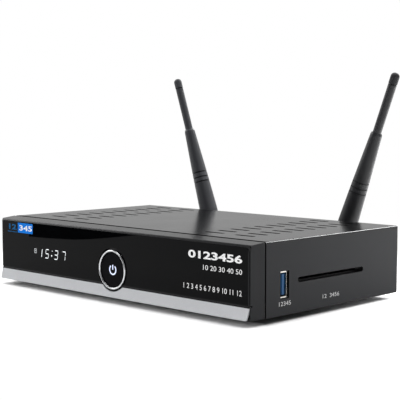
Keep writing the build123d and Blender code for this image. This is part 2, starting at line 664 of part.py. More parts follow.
def aerial_socket():
    """The coaxial aerial socket: a plain sleeve with an insulator at its bottom."""
    end = REAR_FACE + 7.0
    sleeve = rod_y(AERIAL_X, TUNER_Z, AERIAL_RADIUS, REAR_INNER - 2, end)
    sleeve = chamfer(sleeve.edges().filter_by(GeomType.CIRCLE).group_by(Axis.Y)[-1], 0.4)
    sleeve -= rod_y(AERIAL_X, TUNER_Z, 4.8, end - 8, end + 1)
    return sleeve - rod_y(AERIAL_X, TUNER_Z, 1.2, REAR_INNER - 3, end)


def contact_pins():
    """Centre contacts: the power jack's pin and the aerial socket's tube."""
    pin = rod_y(DC_X, DC_Z, 1.0, 108, REAR_FACE - 1.2)
    tube = tube_y(AERIAL_X, TUNER_Z, 1.2, 0.7, REAR_INNER - 2, REAR_FACE + 5.5)
    return group([pin, tube])


def dc_jack():
    """The power jack, for a 5.5 mm plug."""
    jack = block((DC_X - 4.5, DC_X + 4.5), (105, REAR_INNER), (BOARD_TOP, BOARD_TOP + 11))
    jack += rod_y(DC_X, DC_Z, 4.5, REAR_INNER - 1, REAR_FACE + 0.6)
    jack -= rod_y(DC_X, DC_Z, 2.9, 109, REAR_FACE + 2)
    return jack - rod_y(DC_X, DC_Z, 1.0, 108, 110)


def hdmi_port():
    """The HDMI socket: a folded shell round a contact tongue."""
    back = REAR_FACE + 0.5
    z = BOARD_TOP + 0.4
    shell = [(HDMI_X - 7.5, z + 6), (HDMI_X + 7.5, z + 6), (HDMI_X + 7.5, z + 2.3),
             (HDMI_X + 5.4, z), (HDMI_X - 5.4, z), (HDMI_X - 7.5, z + 2.3)]
    hole = [(HDMI_X - 7.0, z + 5.5), (HDMI_X + 7.0, z + 5.5), (HDMI_X + 7.0, z + 2.5),
            (HDMI_X + 5.1, z + 0.6), (HDMI_X - 5.1, z + 0.6), (HDMI_X - 7.0, z + 2.5)]
    port = along_y(shell, back - 11.5, back) - along_y(hole, back - 9, back + 1)
    port += block((HDMI_X - 5.8, HDMI_X + 5.8), (back - 9.5, back - 1), (z + 2.9, z + 3.9))
    return port + block((HDMI_X - 4, HDMI_X + 4), (back - 11, back - 3), (BOARD_TOP, z + 0.5))


def lan_jack():
    """The network socket, with the notch for the plug's latch."""
    back = REAR_FACE + 0.5
    jack = block((LAN_X - 8, LAN_X + 8), (back - 21, back), (BOARD_TOP, BOARD_TOP + 13.5))
    jack -= block(LAN_OPENING_X, (back - 14, back + 1), LAN_OPENING_Z)
    jack -= block((LAN_X - 3.0, LAN_X + 3.0), (back - 12, back + 1),
                  (BOARD_TOP + 1.2, BOARD_TOP + 4))
    for i in range(8):
        x = LAN_X - 3.6 + i * 1.02
        jack += block((x, x + 0.4), (back - 14.5, back - 6), (BOARD_TOP + 9.6, BOARD_TOP + 10.5))
    return jack


def rear_usb_shell():
    """The double USB socket's metal shell."""
    back = REAR_FACE + 0.5
    x, z = REAR_USB_X, BOARD_TOP
    shell = block((x - 6.8, x + 6.8), (back - 17.5, back), (z, z + 15.6))
    for low in (1.0, 8.9):
        shell -= block((x - 6.3, x + 6.3), (back - 12, back + 1), (z + low, z + low + 5.6))
    return shell


def rear_usb_tongues():
    """The contact tongues of the double USB socket."""
    back = REAR_FACE + 0.5
    x, z = REAR_USB_X, BOARD_TOP
    return group([block((x - 5.6, x + 5.6), (back - 12, back - 1.2), (z + low, z + low + 1.9))
                  for low in (4.3, 12.2)])


def optical_port():
    """The optical sound output: a square socket with a sprung shutter."""
    back = REAR_FACE + 0.3
    x, z = OPTICAL_X, BOARD_TOP
    port = block((x - 5, x + 5), (back - 13, back), (z, z + 10))
    port -= block((x - 3.7, x + 3.7), (back - 10.5, back + 1), (z + 1.4, z + 8.8))
    return port - rod_x(*OPTICAL_AXIS, 0.45, x - 4.3, x + 4.3)


def optical_shutter():
    """The shutter that closes the optical output; it swings inward on its upper pins."""
    y, z = OPTICAL_AXIS
    x = OPTICAL_X
    flap = block((x - 3.45, x + 3.45), (y - 0.4, y + 0.4), (BOARD_TOP + 1.7, z))
    flap += rod_x(y, z, 0.4, x - 3.45, x + 3.45)
    return flap + rod_x(y, z, 0.38, x - 4.2, x + 4.2)


def av_jack():
    """The 3.5 mm sound and picture jack."""
    jack = block((AV_X - 4, AV_X + 4), (105, REAR_INNER), (BOARD_TOP, BOARD_TOP + 8.6))
    jack += rod_y(AV_X, AV_Z, 3.7, REAR_INNER - 1, AV_BACK)
    return jack - rod_y(AV_X, AV_Z, AV_BORE, AV_BACK - 13, AV_BACK + 1)


def rocker_housing():
    """The power rocker's snap-in housing."""
    x, z = ROCKER_X, ROCKER_Z
    back = REAR_FACE + 1.4
    housing = block((x - 6.5, x + 6.5), (REAR_FACE - 14, REAR_FACE), (z - 9.5, z + 9.5))
    flange = block((x - 7.5, x + 7.5), (REAR_FACE, back), (z - 10.5, z + 10.5))
    housing += chamfer(flange.edges().group_by(Axis.Y)[-1], 0.6)
    housing -= block((x - 5.1, x + 5.1), (REAR_FACE - 8, back + 1), (z - 8.1, z + 8.1))
    housing -= rod_x(ROCKER_AXIS_Y, z, 1.05, x - 6.0, x + 6.0)
    for side in (-1, 1):
        housing += block((x + side * 3 - 0.4, x + side * 3 + 0.4), (REAR_FACE - 20, REAR_FACE - 13),
                         (z - 2, z + 2))
    return housing


def rocker_switch():
    """The rocker itself: a shallow V-shaped key on two pivot pins, resting on one side."""
    key = along_x([(-3.6, -4.4), (-3.6, 4.4), (1.6, 7.4), (3.0, 7.2), (1.9, 0), (3.0, -7.2),
                   (1.6, -7.4)], -4.85, 4.85)
    key += rod_x(0, 0, 1.0, -5.9, 5.9)
    return Pos(ROCKER_X, ROCKER_AXIS_Y, ROCKER_Z) * Rot(-ROCKER_TILT, 0, 0) * key


def side_usb_shell():
    """The upright USB socket's metal shell, open towards the right side."""
    y, z = (12.0, 18.4), (9.3, 23.6)
    front = INSIDE - 0.2
    shell = block((94, front), y, z)
    shell -= block((97, front + 1), (y[0] + 0.45, y[1] - 0.85), (z[0] + 0.7, z[1] - 0.7))
    shell += block((95, front - 0.4), (y[0] - 0.3, y[1] + 0.3), (z[1] - 0.45, z[1] + 0.2))
    return shell + block((95, 104), (y[0] + 1, y[1] - 1), (BOARD_TOP, z[0] + 0.5))


def side_usb_tongue():
    """The side USB socket's contact tongue."""
    return block((97, INSIDE - 0.8), (14.6, 16.6), (10.9, 22.1))


def card_reader():
    """The smart-card reader with its wide mouth, on four legs above the main board."""
    front = INSIDE - 0.4
    y = (CARD_SLOT_Y[0] - 1.2, CARD_SLOT_Y[1] + 1.2)
    reader = block((44, front), y, (14.4, 21.3))
    reader -= block((52, HALF), (y[0] + 3.4, y[1] - 3.4), CARD_POCKET_Z)
    reader -= block((front - 3, HALF), (y[0] + 1, y[1] - 1),
                    (CARD_SLOT_Z[0] - 0.2, CARD_SLOT_Z[1] + 0.2))
    reader -= block((60, 92), (y[0] + 12, y[1] - 12), (20, 22))
    for x in (48, 100):
        for leg in (y[0] + 3, y[1] - 3):
            reader += block((x - 2, x + 2), (leg - 2, leg + 2), (BOARD_TOP, 14.6))
    return reader


def wireless_module():
    """The wireless network board with its screening can."""
    plate = block((-86, -64), (62, 90), (BOARD_TOP, BOARD_TOP + 1.0))
    return plate + block((-84, -68), (64, 82), (BOARD_TOP + 0.9, BOARD_TOP + 3.2))


def antenna_sockets():
    """Two coaxial sockets that the antennas screw onto."""
    sockets = []
    for x in (-ANTENNA_X, ANTENNA_X):
        socket = rod_y(x, ANTENNA_Z, SMA_RADIUS, SMA_INNER_END, SMA_END)
        socket += hex_y(x, ANTENNA_Z, 8.0, REAR_INNER - 2, REAR_INNER)
        sockets.append(socket - rod_y(x, ANTENNA_Z, 1.6, SMA_END - 4, SMA_END + 1))
    return group(sockets)


def antenna_socket_nuts():
    """Nuts and washers that clamp the antenna sockets to the rear wall."""
    nuts = []
    for x in (-ANTENNA_X, ANTENNA_X):
        nut = rod_y(x, ANTENNA_Z, 5.0, REAR_FACE, REAR_FACE + 0.5)
        nut += hex_y(x, ANTENNA_Z, 8.0, REAR_FACE + 0.4, REAR_FACE + 2.4)
        nuts.append(nut - rod_y(x, ANTENNA_Z, SMA_RADIUS, REAR_FACE - 1, REAR_FACE + 4))
    return group(nuts)


def antenna_leads():
    """Thin coaxial leads from the wireless module to the two antenna sockets."""
    top = BOARD_TOP + 1.0
    left = [(-ANTENNA_X, SMA_INNER_END, ANTENNA_Z), (-ANTENNA_X, 100, ANTENNA_Z), (-66, 94, 14),
            (-67, 87, top + 1.5), (-67, 87, top)]
    right = [(ANTENNA_X, SMA_INNER_END, ANTENNA_Z), (ANTENNA_X, 104, ANTENNA_Z), (48, 95, 28),
             (8, 90, 29.5), (-38, 88, 28), (-62, 86, 18), (-66, 85, top + 2), (-66, 85, top)]
    leads = []
    for points in (left, right):
        path = FilletPolyline(*points, radius=1.2)
        section = Plane(origin=path @ 0, z_dir=path % 0) * Circle(0.6)
        leads.append(sweep(section, path=path))
    return group(leads)


# ---- antennas --------------------------------------------------------------------------------
# Each antenna is drawn upright with its elbow pin at the origin: the socket axis runs along Y
# and the pin along X.  place_antenna() leans it and moves it behind the case.


def place_antenna(shape, side):
    """Lean an antenna piece outward and move it to its socket; side is -1 (left) or 1."""
    lean = LEFT_LEAN if side < 0 else RIGHT_LEAN
    return Pos(side * ANTENNA_X, ANTENNA_Y, ANTENNA_Z) * Rot(0, lean, 0) * shape


def antenna_hub():
    """The swivelling foot: a round barrel over the socket, ending in a fork for the elbow."""
    barrel = rod_y(0, 0, HUB_RADIUS, HUB_FRONT, -4.8)
    barrel = chamfer(barrel.edges().filter_by(GeomType.CIRCLE).group_by(Axis.Y)[0], 0.6)
    fork = along_x([(-6, -EAR_RADIUS), (0, -EAR_RADIUS), (0, EAR_RADIUS), (-6, EAR_RADIUS)],
                   -FORK_HALF, FORK_HALF)
    fork += rod_x(0, 0, EAR_RADIUS, -FORK_HALF, FORK_HALF)
    hub = barrel + (fork & rod_y(0, 0, HUB_RADIUS, -7, EAR_RADIUS + 1))
    slot = TONGUE_HALF + 0.25
    hub -= block((-slot, slot), (-TONGUE_RADIUS - 0.6, EAR_RADIUS + 1), (-9, 9))
    hub -= antenna_pin()
    hub -= rod_y(0, 0, COUPLING_RADIUS, HUB_FRONT - 1, HUB_FRONT + COUPLING_LENGTH)
    return hub - rod_y(0, 0, SMA_RADIUS + 0.15, HUB_FRONT, SMA_END - ANTENNA_Y + 0.3)


def antenna_nut():
    """The brass coupling nut inside the foot."""
    return tube_y(0, 0, COUPLING_RADIUS, SMA_RADIUS + 0.06, HUB_FRONT,
                  HUB_FRONT + COUPLING_LENGTH)


def antenna_pin():
    """The elbow's steel pin, held in the fork."""
    return rod_x(0, 0, PIN_RADIUS, -PIN_HALF, PIN_HALF)


def antenna_sleeve():
    """The mast's thick tapered sleeve with three fine grooves and the elbow's tongue."""
    outline = [(0, SLEEVE_BOTTOM), (4.9, SLEEVE_BOTTOM), (5.85, SLEEVE_BOTTOM + 1.0),
               (6.25, SLEEVE_BOTTOM + 3.2), (MAST_RADIUS, 17.5), (5.95, 30)]
    for z, radius in GROOVES:
        outline += [(radius + 0.02, z - 0.35), (radius - 0.45, z - 0.35),
                    (radius - 0.45, z + 0.35), (radius - 0.02, z + 0.35)]
    outline += [(3.72, SLEEVE_TOP - 1.2), (3.3, SLEEVE_TOP), (0, SLEEVE_TOP)]
    profile = make_face(Polyline(*[(r, 0, z) for r, z in outline], close=True))
    sleeve = revolve(profile, Axis.Z)
    tongue = rod_x(0, 0, TONGUE_RADIUS, -TONGUE_HALF, TONGUE_HALF)
    tongue += block((-TONGUE_HALF, TONGUE_HALF), (-4.0, 4.0), (0, SLEEVE_BOTTOM + 0.5))
    sleeve = sleeve + tongue - rod_x(0, 0, PIN_RADIUS + 0.06, -4, 4)
    return sleeve - rod_z(0, 0, WHIP_RADIUS, SLEEVE_TOP - WHIP_SOCKET, SLEEVE_TOP + 1)


def antenna_whip():
    """The mast's thin upper rod, with a turned end for the cap."""
    rod = rod_z(0, 0, WHIP_RADIUS, SLEEVE_TOP - WHIP_SOCKET, WHIP_END)
    return rod + rod_z(0, 0, SPIGOT_RADIUS, WHIP_END - 1, CAP_BOTTOM + CAP_SOCKET)


def antenna_cap():
    """The rounded cap on the mast's tip."""
    cap = rod_z(0, 0, CAP_RADIUS, CAP_BOTTOM, MAST_TOP)
    ends = cap.edges().filter_by(GeomType.CIRCLE).sort_by(Axis.Z)
    cap = fillet(ends[-1], 2.5)
    lower = cap.edges().filter_by(GeomType.CIRCLE).sort_by(Axis.Z)[0]
    cap = chamfer(lower, 0.2)
    return cap - rod_z(0, 0, SPIGOT_RADIUS, CAP_BOTTOM - 1, CAP_BOTTOM + CAP_SOCKET)


# ---- export ------------------------------------------------------------------------------------

CASE_NODES = [
    top_cover, base_tray, feet, cover_screws,
    fascia_frame, display_window, trim_strip, button_ring, power_button, power_symbol,
    switch_plunger, push_switch, front_board, display_module, infrared_receiver,
    fascia_screws, front_ribbon,
    main_board, board_standoffs, board_screws, processor, heat_sink, memory_chips,
    capacitors, inductors, satellite_tuner, terrestrial_tuner, f_connectors,
    f_connector_nuts, aerial_socket, contact_pins, dc_jack, hdmi_port, lan_jack,
    rear_usb_shell, rear_usb_tongues, optical_port, optical_shutter, av_jack,
    rocker_housing, rocker_switch, side_usb_shell, side_usb_tongue, card_reader,
    wireless_module, antenna_sockets, antenna_socket_nuts, antenna_leads,
]
ANTENNA_NODES = [antenna_hub, antenna_nut, antenna_pin, antenna_sleeve, antenna_whip,
                 antenna_cap]


def export_nodes():
    """Write every piece to parts/NODE.step, moved from the case frame to the part's frame."""
    os.makedirs("parts", exist_ok=True)
    move = Pos(0, CASE_Y, CASE_Z)
    for make in CASE_NODES:
        export_step(move * make(), f"parts/{make.__name__}.step")
    for make in ANTENNA_NODES:
        for side, name in ((-1, "left"), (1, "right")):
            piece = place_antenna(make(), side)
            export_step(move * piece, f"parts/{name}_{make.__name__}.step")


export_nodes()
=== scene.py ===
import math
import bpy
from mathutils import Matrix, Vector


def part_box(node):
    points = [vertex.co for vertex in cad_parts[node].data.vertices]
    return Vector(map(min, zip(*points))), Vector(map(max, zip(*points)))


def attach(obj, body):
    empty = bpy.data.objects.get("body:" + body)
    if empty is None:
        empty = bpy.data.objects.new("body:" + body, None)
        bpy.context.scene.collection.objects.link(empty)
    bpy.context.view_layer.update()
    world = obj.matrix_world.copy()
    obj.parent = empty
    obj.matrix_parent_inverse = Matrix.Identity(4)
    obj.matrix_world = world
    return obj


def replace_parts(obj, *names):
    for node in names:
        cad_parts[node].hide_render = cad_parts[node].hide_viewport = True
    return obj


bl_info = {
    "name": "Satellite receiver finish",
    "version": (1, 0, 0),
    "blender": (4, 5, 0),
    "location": "3D View > Sidebar > Receiver",
    "description": "Finishes, prints, lit clock and studio for a satellite TV receiver",
    "category": "Object",
}

import bpy
import numpy as np
from mathutils import Euler, Vector

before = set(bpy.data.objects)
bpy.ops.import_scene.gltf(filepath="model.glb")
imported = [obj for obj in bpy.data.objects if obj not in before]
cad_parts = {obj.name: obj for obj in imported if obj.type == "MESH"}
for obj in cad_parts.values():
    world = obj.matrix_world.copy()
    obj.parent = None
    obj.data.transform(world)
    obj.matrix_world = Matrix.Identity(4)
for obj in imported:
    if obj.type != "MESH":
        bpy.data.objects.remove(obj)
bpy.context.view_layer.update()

MM = 0.001
BODY = "receiver"


# ---- where things are, read from the frame (metres) ------------------------------------------

def span(node):
    """The lowest and highest corners of a CAD node as two numpy arrays."""
    low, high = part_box(node)
    return np.array(low), np.array(high)


def middle(node):
    """The middle of a CAD node's box."""
    return sum(span(node)) / 2


WINDOW_LOW, WINDOW_HIGH = span("display_window")
COVER_LOW, COVER_HIGH = span("top_cover")
WINDOW_FACE = WINDOW_LOW[1]
SIDE_FACE = COVER_HIGH[0]
CASE_BOTTOM = COVER_LOW[2]
GAP_PLANE = COVER_LOW[1]
BUTTON_CENTRE = middle("button_ring")
TRIM_CREST = span("trim_strip")[1][2]

# in case mm: millimetres from the centre line, from the cover's front edge and from its bottom
WINDOW_PLANE = (WINDOW_FACE - GAP_PLANE) / MM
SIDE_WALL = SIDE_FACE / MM
REAR_WALL = (span("base_tray")[1][1] - GAP_PLANE) / MM
BOARD_TOP = (span("main_board")[1][2] - CASE_BOTTOM) / MM

# metres along an antenna's mast, from the pin of its elbow
SLEEVE_GROOVES = (0.0387, 0.042, 0.0457)
SLEEVE_END = 0.0786
CAP_SEAM = 0.1106

# each antenna's plastic painted lighter or darker for the light that falls on it, and how much
# painted shade darkens its grooves
ANTENNA_PAINTED_LIGHT = {"left": (1.35, 0.8), "right": (0.5, 0.3)}


# ---- node arithmetic and one node-making method ------------------------------------------------

def maths(operation, reflected=False):
    """A method of Value that adds a Math node; the reflected form swaps its operands."""

    def method(self, *others):
        operands = (*others, self) if reflected else (self, *others)
        inputs = dict(enumerate(operands))
        return self.nodes.node("ShaderNodeMath", {"operation": operation}, inputs)

    return method


class Value:
    """A node's output, which adds Math nodes when it is used in an expression."""
    __add__ = maths("ADD")
    __radd__ = maths("ADD", reflected=True)
    __sub__ = maths("SUBTRACT")
    __rsub__ = maths("SUBTRACT", reflected=True)
    __mul__ = maths("MULTIPLY")
    __rmul__ = maths("MULTIPLY", reflected=True)
    __gt__ = maths("GREATER_THAN")
    __lt__ = maths("LESS_THAN")
    __abs__ = maths("ABSOLUTE")
    most = maths("MAXIMUM")
    sine = maths("SINE")
    root = maths("SQRT")
    # y.angle(x) is the direction of the point (x, y), in radians
    angle = maths("ARCTAN2")

    def __init__(self, nodes, source):
        self.nodes = nodes
        self.source = source

    def step(self, low, high):
        """0 below low, 1 above high, smooth between them."""
        return self.nodes.node("ShaderNodeMapRange", {"interpolation_type": "SMOOTHSTEP"},
                               {"Value": self, "From Min": low, "From Max": high})


class Nodes:
    """The nodes of a material or a world, built round its one shader."""

    def __init__(self, owner, shader):
        owner.use_nodes = True
        self.tree = owner.node_tree
        self.shader = self.tree.nodes[shader]

    def node(self, kind, settings=None, inputs=None, output=0):
        """Add one node: settings first, then the values or links of its sockets."""
        made = self.tree.nodes.new(kind)
        for setting, value in (settings or {}).items():
            setattr(made, setting, value)
        for socket, value in (inputs or {}).items():
            self.fill(made.inputs[socket], value)
        return Value(self, made.outputs[output])

    def fill(self, socket, value):
        """Give a socket a constant, or link a value to it."""
        if isinstance(value, Value):
            self.tree.links.new(value.source, socket)
        else:
            socket.default_value = value

    def set(self, socket, value):
        """Give a socket of the shader a constant, or link a varying value to it."""
        self.fill(self.shader.inputs[socket], value)


class Finish(Nodes):
    """A procedural material built round one Principled shader."""

    def __init__(self, name, colour, roughness, **constants):
        self.material = bpy.data.materials.new(name)
        super().__init__(self.material, "Principled BSDF")
        self.set("Base Color", (*colour, 1.0))
        self.set("Roughness", roughness)
        for socket, value in constants.items():
            self.set(socket.replace("_", " ").title().replace("Ior", "IOR"), value)
        self.place = None

    def where(self):
        """The point on the piece, in metres, as a vector socket."""
        if self.place is None:
            self.place = self.node("ShaderNodeTexCoord", output="Object")
        return self.place

    def axes(self):
        """The point's x, y and z, in metres."""
        split = self.node("ShaderNodeSeparateXYZ", inputs={0: self.where()}).source.node
        return [Value(self, output) for output in split.outputs]

    def scaled(self, size, stretch=(1, 1, 1)):
        """The point on the piece, in units of size metres, stretched along each axis."""
        return self.node("ShaderNodeVectorMath", {"operation": "MULTIPLY"},
                         {0: self.where(), 1: tuple(s / size for s in stretch)})

    def noise(self, size, detail=2.0, stretch=(1, 1, 1)):
        """Cloudy noise with features about size metres across, from 0 to 1."""
        return self.node("ShaderNodeTexNoise", inputs={
            "Vector": self.scaled(size, stretch), "Scale": 1.0, "Detail": detail})

    def cells(self, size):
        """Distance to scattered points about size metres apart, in units of size."""
        return self.node("ShaderNodeTexVoronoi", inputs={
            "Vector": self.scaled(size), "Scale": 1.0}, output="Distance")

    def blend(self, factor, first, second):
        """A colour between two colours, by a factor from 0 to 1."""
        # a Mix node's colours are its inputs 6 and 7 and its output 2
        return self.node("ShaderNodeMix", {"data_type": "RGBA"}, {
            0: factor, 6: self.colour(first), 7: self.colour(second)}, output=2)

    @staticmethod
    def colour(value):
        """A colour with its alpha, or a value as it is."""
        return value if isinstance(value, Value) else (*value, 1.0)

    def shades(self, factor, colour, darker, lighter):
        """A colour between two tints of one colour, by a factor from 0 to 1."""
        return self.blend(factor, tint(colour, darker), tint(colour, lighter))

    def coat(self, colour, roughness):
        """Give the shader a colour and a roughness that vary.  Gives the finish back."""
        self.set("Base Color", colour)
        self.set("Roughness", roughness)
        return self

    def bump(self, height, depth=0.00001, strength=0.3):
        """Relief: height from 0 to 1 is depth metres deep.  Gives the finish back."""
        self.set("Normal", self.node("ShaderNodeBump", inputs={
            "Height": height, "Distance": depth, "Strength": strength}))
        return self


def tint(colour, factor):
    """A colour made lighter or darker."""
    return tuple(min(1.0, c * factor) for c in colour)


def dress(finish, *nodes):
    """Give CAD nodes a finish in every material slot they have."""
    for name in nodes:
        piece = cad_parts[name]
        if not piece.material_slots:
            piece.data.materials.append(finish.material)
        for holder in piece.material_slots:
            holder.material = finish.material


# ---- surfaces --------------------------------------------------------------------------------

def case_points(points):
    """Points in case mm, as metres."""
    return np.asarray(points, float) * MM + (0, GAP_PLANE, CASE_BOTTOM)


def case_point(*place):
    """The same for one point's x, y and z."""
    return case_points(place)


def in_scene(name, data):
    """A new object in the scene, from its mesh, curve, light or camera."""
    made = bpy.data.objects.new(name, data)
    bpy.context.scene.collection.objects.link(made)
    return made


def surface(name, points, faces, finish):
    """A mesh object at the origin, finished."""
    mesh = bpy.data.meshes.new(name)
    mesh.from_pydata(np.asarray(points, float).tolist(), [], faces)
    mesh.update()
    mesh.materials.append(finish.material)
    return in_scene(name, mesh)


def add_piece(name, points, faces, finish, slot, body=BODY):
    """A surface that rides on a body."""
    piece = surface(name, points, faces, finish)
    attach(piece, body)
    return piece


def band_faces(rings, sides, closed=False):
    """Quads between rings of points, numbered round each; closed joins the last to the first."""
    i, j = np.indices((rings if closed else rings - 1, sides)).reshape(2, -1)
    after, right = (i + 1) % rings, (j + 1) % sides
    corners = (after * sides + j, after * sides + right, i * sides + right, i * sides + j)
    return np.stack(corners, axis=1)


def turned(profile, x, z, thread=None, ring=False):
    """A surface of revolution about a line along Y, from (y, radius) pairs; all in case mm.

    Point (i, t) is (x + r_i cos t, y_i, z + r_i sin t) with t going once round.  The profile
    begins and ends on the line, where one point closes it, or is a ring that joins its start.
    thread is (y0, y1, pitch, height): radii between y0 and y1 on the outside grow by height * w,
    w being a triangle wave of (y - y0) / pitch - t / 2 pi that sinks to 0 at both ends.
    """
    sides = 48
    y, radius = np.array(profile, float).T
    t = np.linspace(0, 2 * math.pi, sides, endpoint=False)
    spread = np.repeat(radius[:, None], sides, axis=1)
    if thread:
        y0, y1, pitch, height = thread
        along = y[:, None] - y0
        wave = 1 - np.abs(2 * ((along / pitch - t / (2 * math.pi)) % 1.0) - 1)
        fade = np.clip(np.minimum(along, y1 - y0 - along) / (0.6 * pitch), 0, 1)
        outside = radius[:, None] == radius[np.argmin(np.abs(y - (y0 + y1) / 2))]
        spread = spread + height * wave * fade * outside
    points = np.stack([x + spread * np.cos(t), np.repeat(y[:, None], sides, axis=1),
                       z + spread * np.sin(t)], axis=-1)
    if ring:
        return case_points(points.reshape(-1, 3)), band_faces(len(y), sides, True).tolist()
    j = np.arange(sides)
    right = (j + 1) % sides
    last = (len(y) - 3) * sides + 1
    start = np.stack([0 * j, j + 1, right + 1], axis=1)
    end = np.stack([0 * j + last + sides, right + last, j + last], axis=1)
    band = band_faces(len(y) - 2, sides) + 1
    points = np.concatenate([[(x, y[0], z)], points[1:-1].reshape(-1, 3), [(x, y[-1], z)]])
    return case_points(points), start.tolist() + band.tolist() + end.tolist()


def washer(y0, y1, inner, outer, x, z):
    """A flat ring about a line along Y, between two planes and two radii; all in case mm."""
    return turned([(y0, outer), (y1, outer), (y1, inner), (y0, inner)], x, z, ring=True)


def rectangle(u0, u1, v0, v1):
    """A rectangle's outline, counter-clockwise."""
    return [(u0, v0), (u1, v0), (u1, v1), (u0, v1)]


def round_rectangle(u0, u1, v0, v1, radius, steps):
    """An outline with quarter-circle corners of so many points, counter-clockwise."""
    corners = np.array([(u1 - radius, v0 + radius), (u1 - radius, v1 - radius),
                        (u0 + radius, v1 - radius), (u0 + radius, v0 + radius)])
    angles = np.radians(np.linspace(0, 90, steps) + np.array([[-90], [0], [90], [180]]))
    arcs = np.stack([np.cos(angles), np.sin(angles)], axis=-1) * radius
    return (corners[:, None] + arcs).reshape(-1, 2)


def frame_strips(u0, u1, v0, v1, width):
    """A rectangular border as four outlines."""
    return [rectangle(u0, u1, v0, v0 + width), rectangle(u0, u1, v1 - width, v1),
            rectangle(u0, u0 + width, v0 + width, v1 - width),
            rectangle(u1 - width, u1, v0 + width, v1 - width)]


def boxes(ranges):
    """Closed boxes from (x0, x1, y0, y1, z0, z1) rows in case mm.

    Corner k of a box takes the low or the high end of each range by the bits of k.
    """
    ends = np.asarray(ranges, float).reshape(-1, 3, 2)
    bits = np.array([(k & 1, k >> 1 & 1, k >> 2) for k in range(8)])
    points = np.where(bits[None] == 1, ends[:, None, :, 1], ends[:, None, :, 0])
    one = np.array([(0, 4, 6, 2), (1, 3, 7, 5), (0, 1, 5, 4), (2, 6, 7, 3), (0, 2, 3, 1),
                    (4, 5, 7, 6)])
    faces = (one[None] + 8 * np.arange(len(ends))[:, None, None]).reshape(-1, 4)
    return case_points(points.reshape(-1, 3)), faces.tolist()


def repeated(box, axis, places):
    """A box's ranges moved along an axis (0, 1 or 2) by each of places, as one row for each."""
    moves = np.zeros((len(places), 6))
    moves[:, 2 * axis:2 * axis + 2] = np.asarray(places, float)[:, None]
    return np.asarray(box, float) + moves


def joined(parts):
    """Several (points, faces) as one."""
    counts = np.cumsum([0] + [len(points) for points, _ in parts])
    faces = [[i + start for i in face] for (_, some), start in zip(parts, counts.tolist())
             for face in some]
    return np.concatenate([points for points, _ in parts]), faces


# sides that a print can lie on: (across, up), with the print's outside towards across x up
FRONT = (np.array([1.0, 0, 0]), np.array([0, 0, 1.0]))
RIGHT = (np.array([0, 1.0, 0]), np.array([0, 0, 1.0]))
REAR = (np.array([-1.0, 0, 0]), np.array([0, 0, 1.0]))


def inked(flat, point, side, layer=1):
    """Places (u, v) millimetres across and up from a side's point, raised to a layer of ink."""
    across, up = side
    ink_height = bpy.context.scene.receiver_sizes.ink_height
    raised = point + np.cross(across, up) * layer * ink_height
    return raised + flat[:, :1] * MM * across + flat[:, 1:] * MM * up


def printed(name, outlines, point, side, finish, slot):
    """Flat faces on a side, from outlines of (u, v) millimetres across and up from its point."""
    points = inked(np.concatenate([np.array(outline) for outline in outlines]), point, side)
    ends = np.cumsum([len(outline) for outline in outlines])
    faces = [list(range(end - len(o), end)) for end, o in zip(ends, outlines)]
    add_piece(name, points, faces, finish, slot)


def numerals(name, text, point, side, height, finish, width=None, anchor=1.0, weight=0.0,
             slot="display_window", body=BODY, layer=1):
    """Plain printed numbers that stand on a side's point, height and width in millimetres.

    anchor puts the point at their left end at 0 and at their right end at 1.
    """
    curve = bpy.data.curves.new(name + "_outline", "FONT")
    curve.body = text
    curve.offset = weight
    curve.resolution_u = 4
    writer = in_scene(name + "_outline", curve)
    bpy.context.view_layer.update()
    mesh = bpy.data.meshes.new_from_object(writer.evaluated_get(
        bpy.context.evaluated_depsgraph_get()))
    flat = np.array([vertex.co[:2] for vertex in mesh.vertices])
    faces = [list(polygon.vertices) for polygon in mesh.polygons]
    bpy.data.objects.remove(writer)
    bpy.data.curves.remove(curve)
    bpy.data.meshes.remove(mesh)
    low, high = flat.min(axis=0), flat.max(axis=0)
    drawn_width, drawn_height = high - low
    scale_v = height / drawn_height
    scale_u = width / drawn_width if width else scale_v
    flat = (flat - low - (anchor * drawn_width, 0)) * (scale_u, scale_v)
    add_piece(name, inked(flat, point, side, layer), faces, finish, slot, body)


# ---- finishes --------------------------------------------------------------------------------

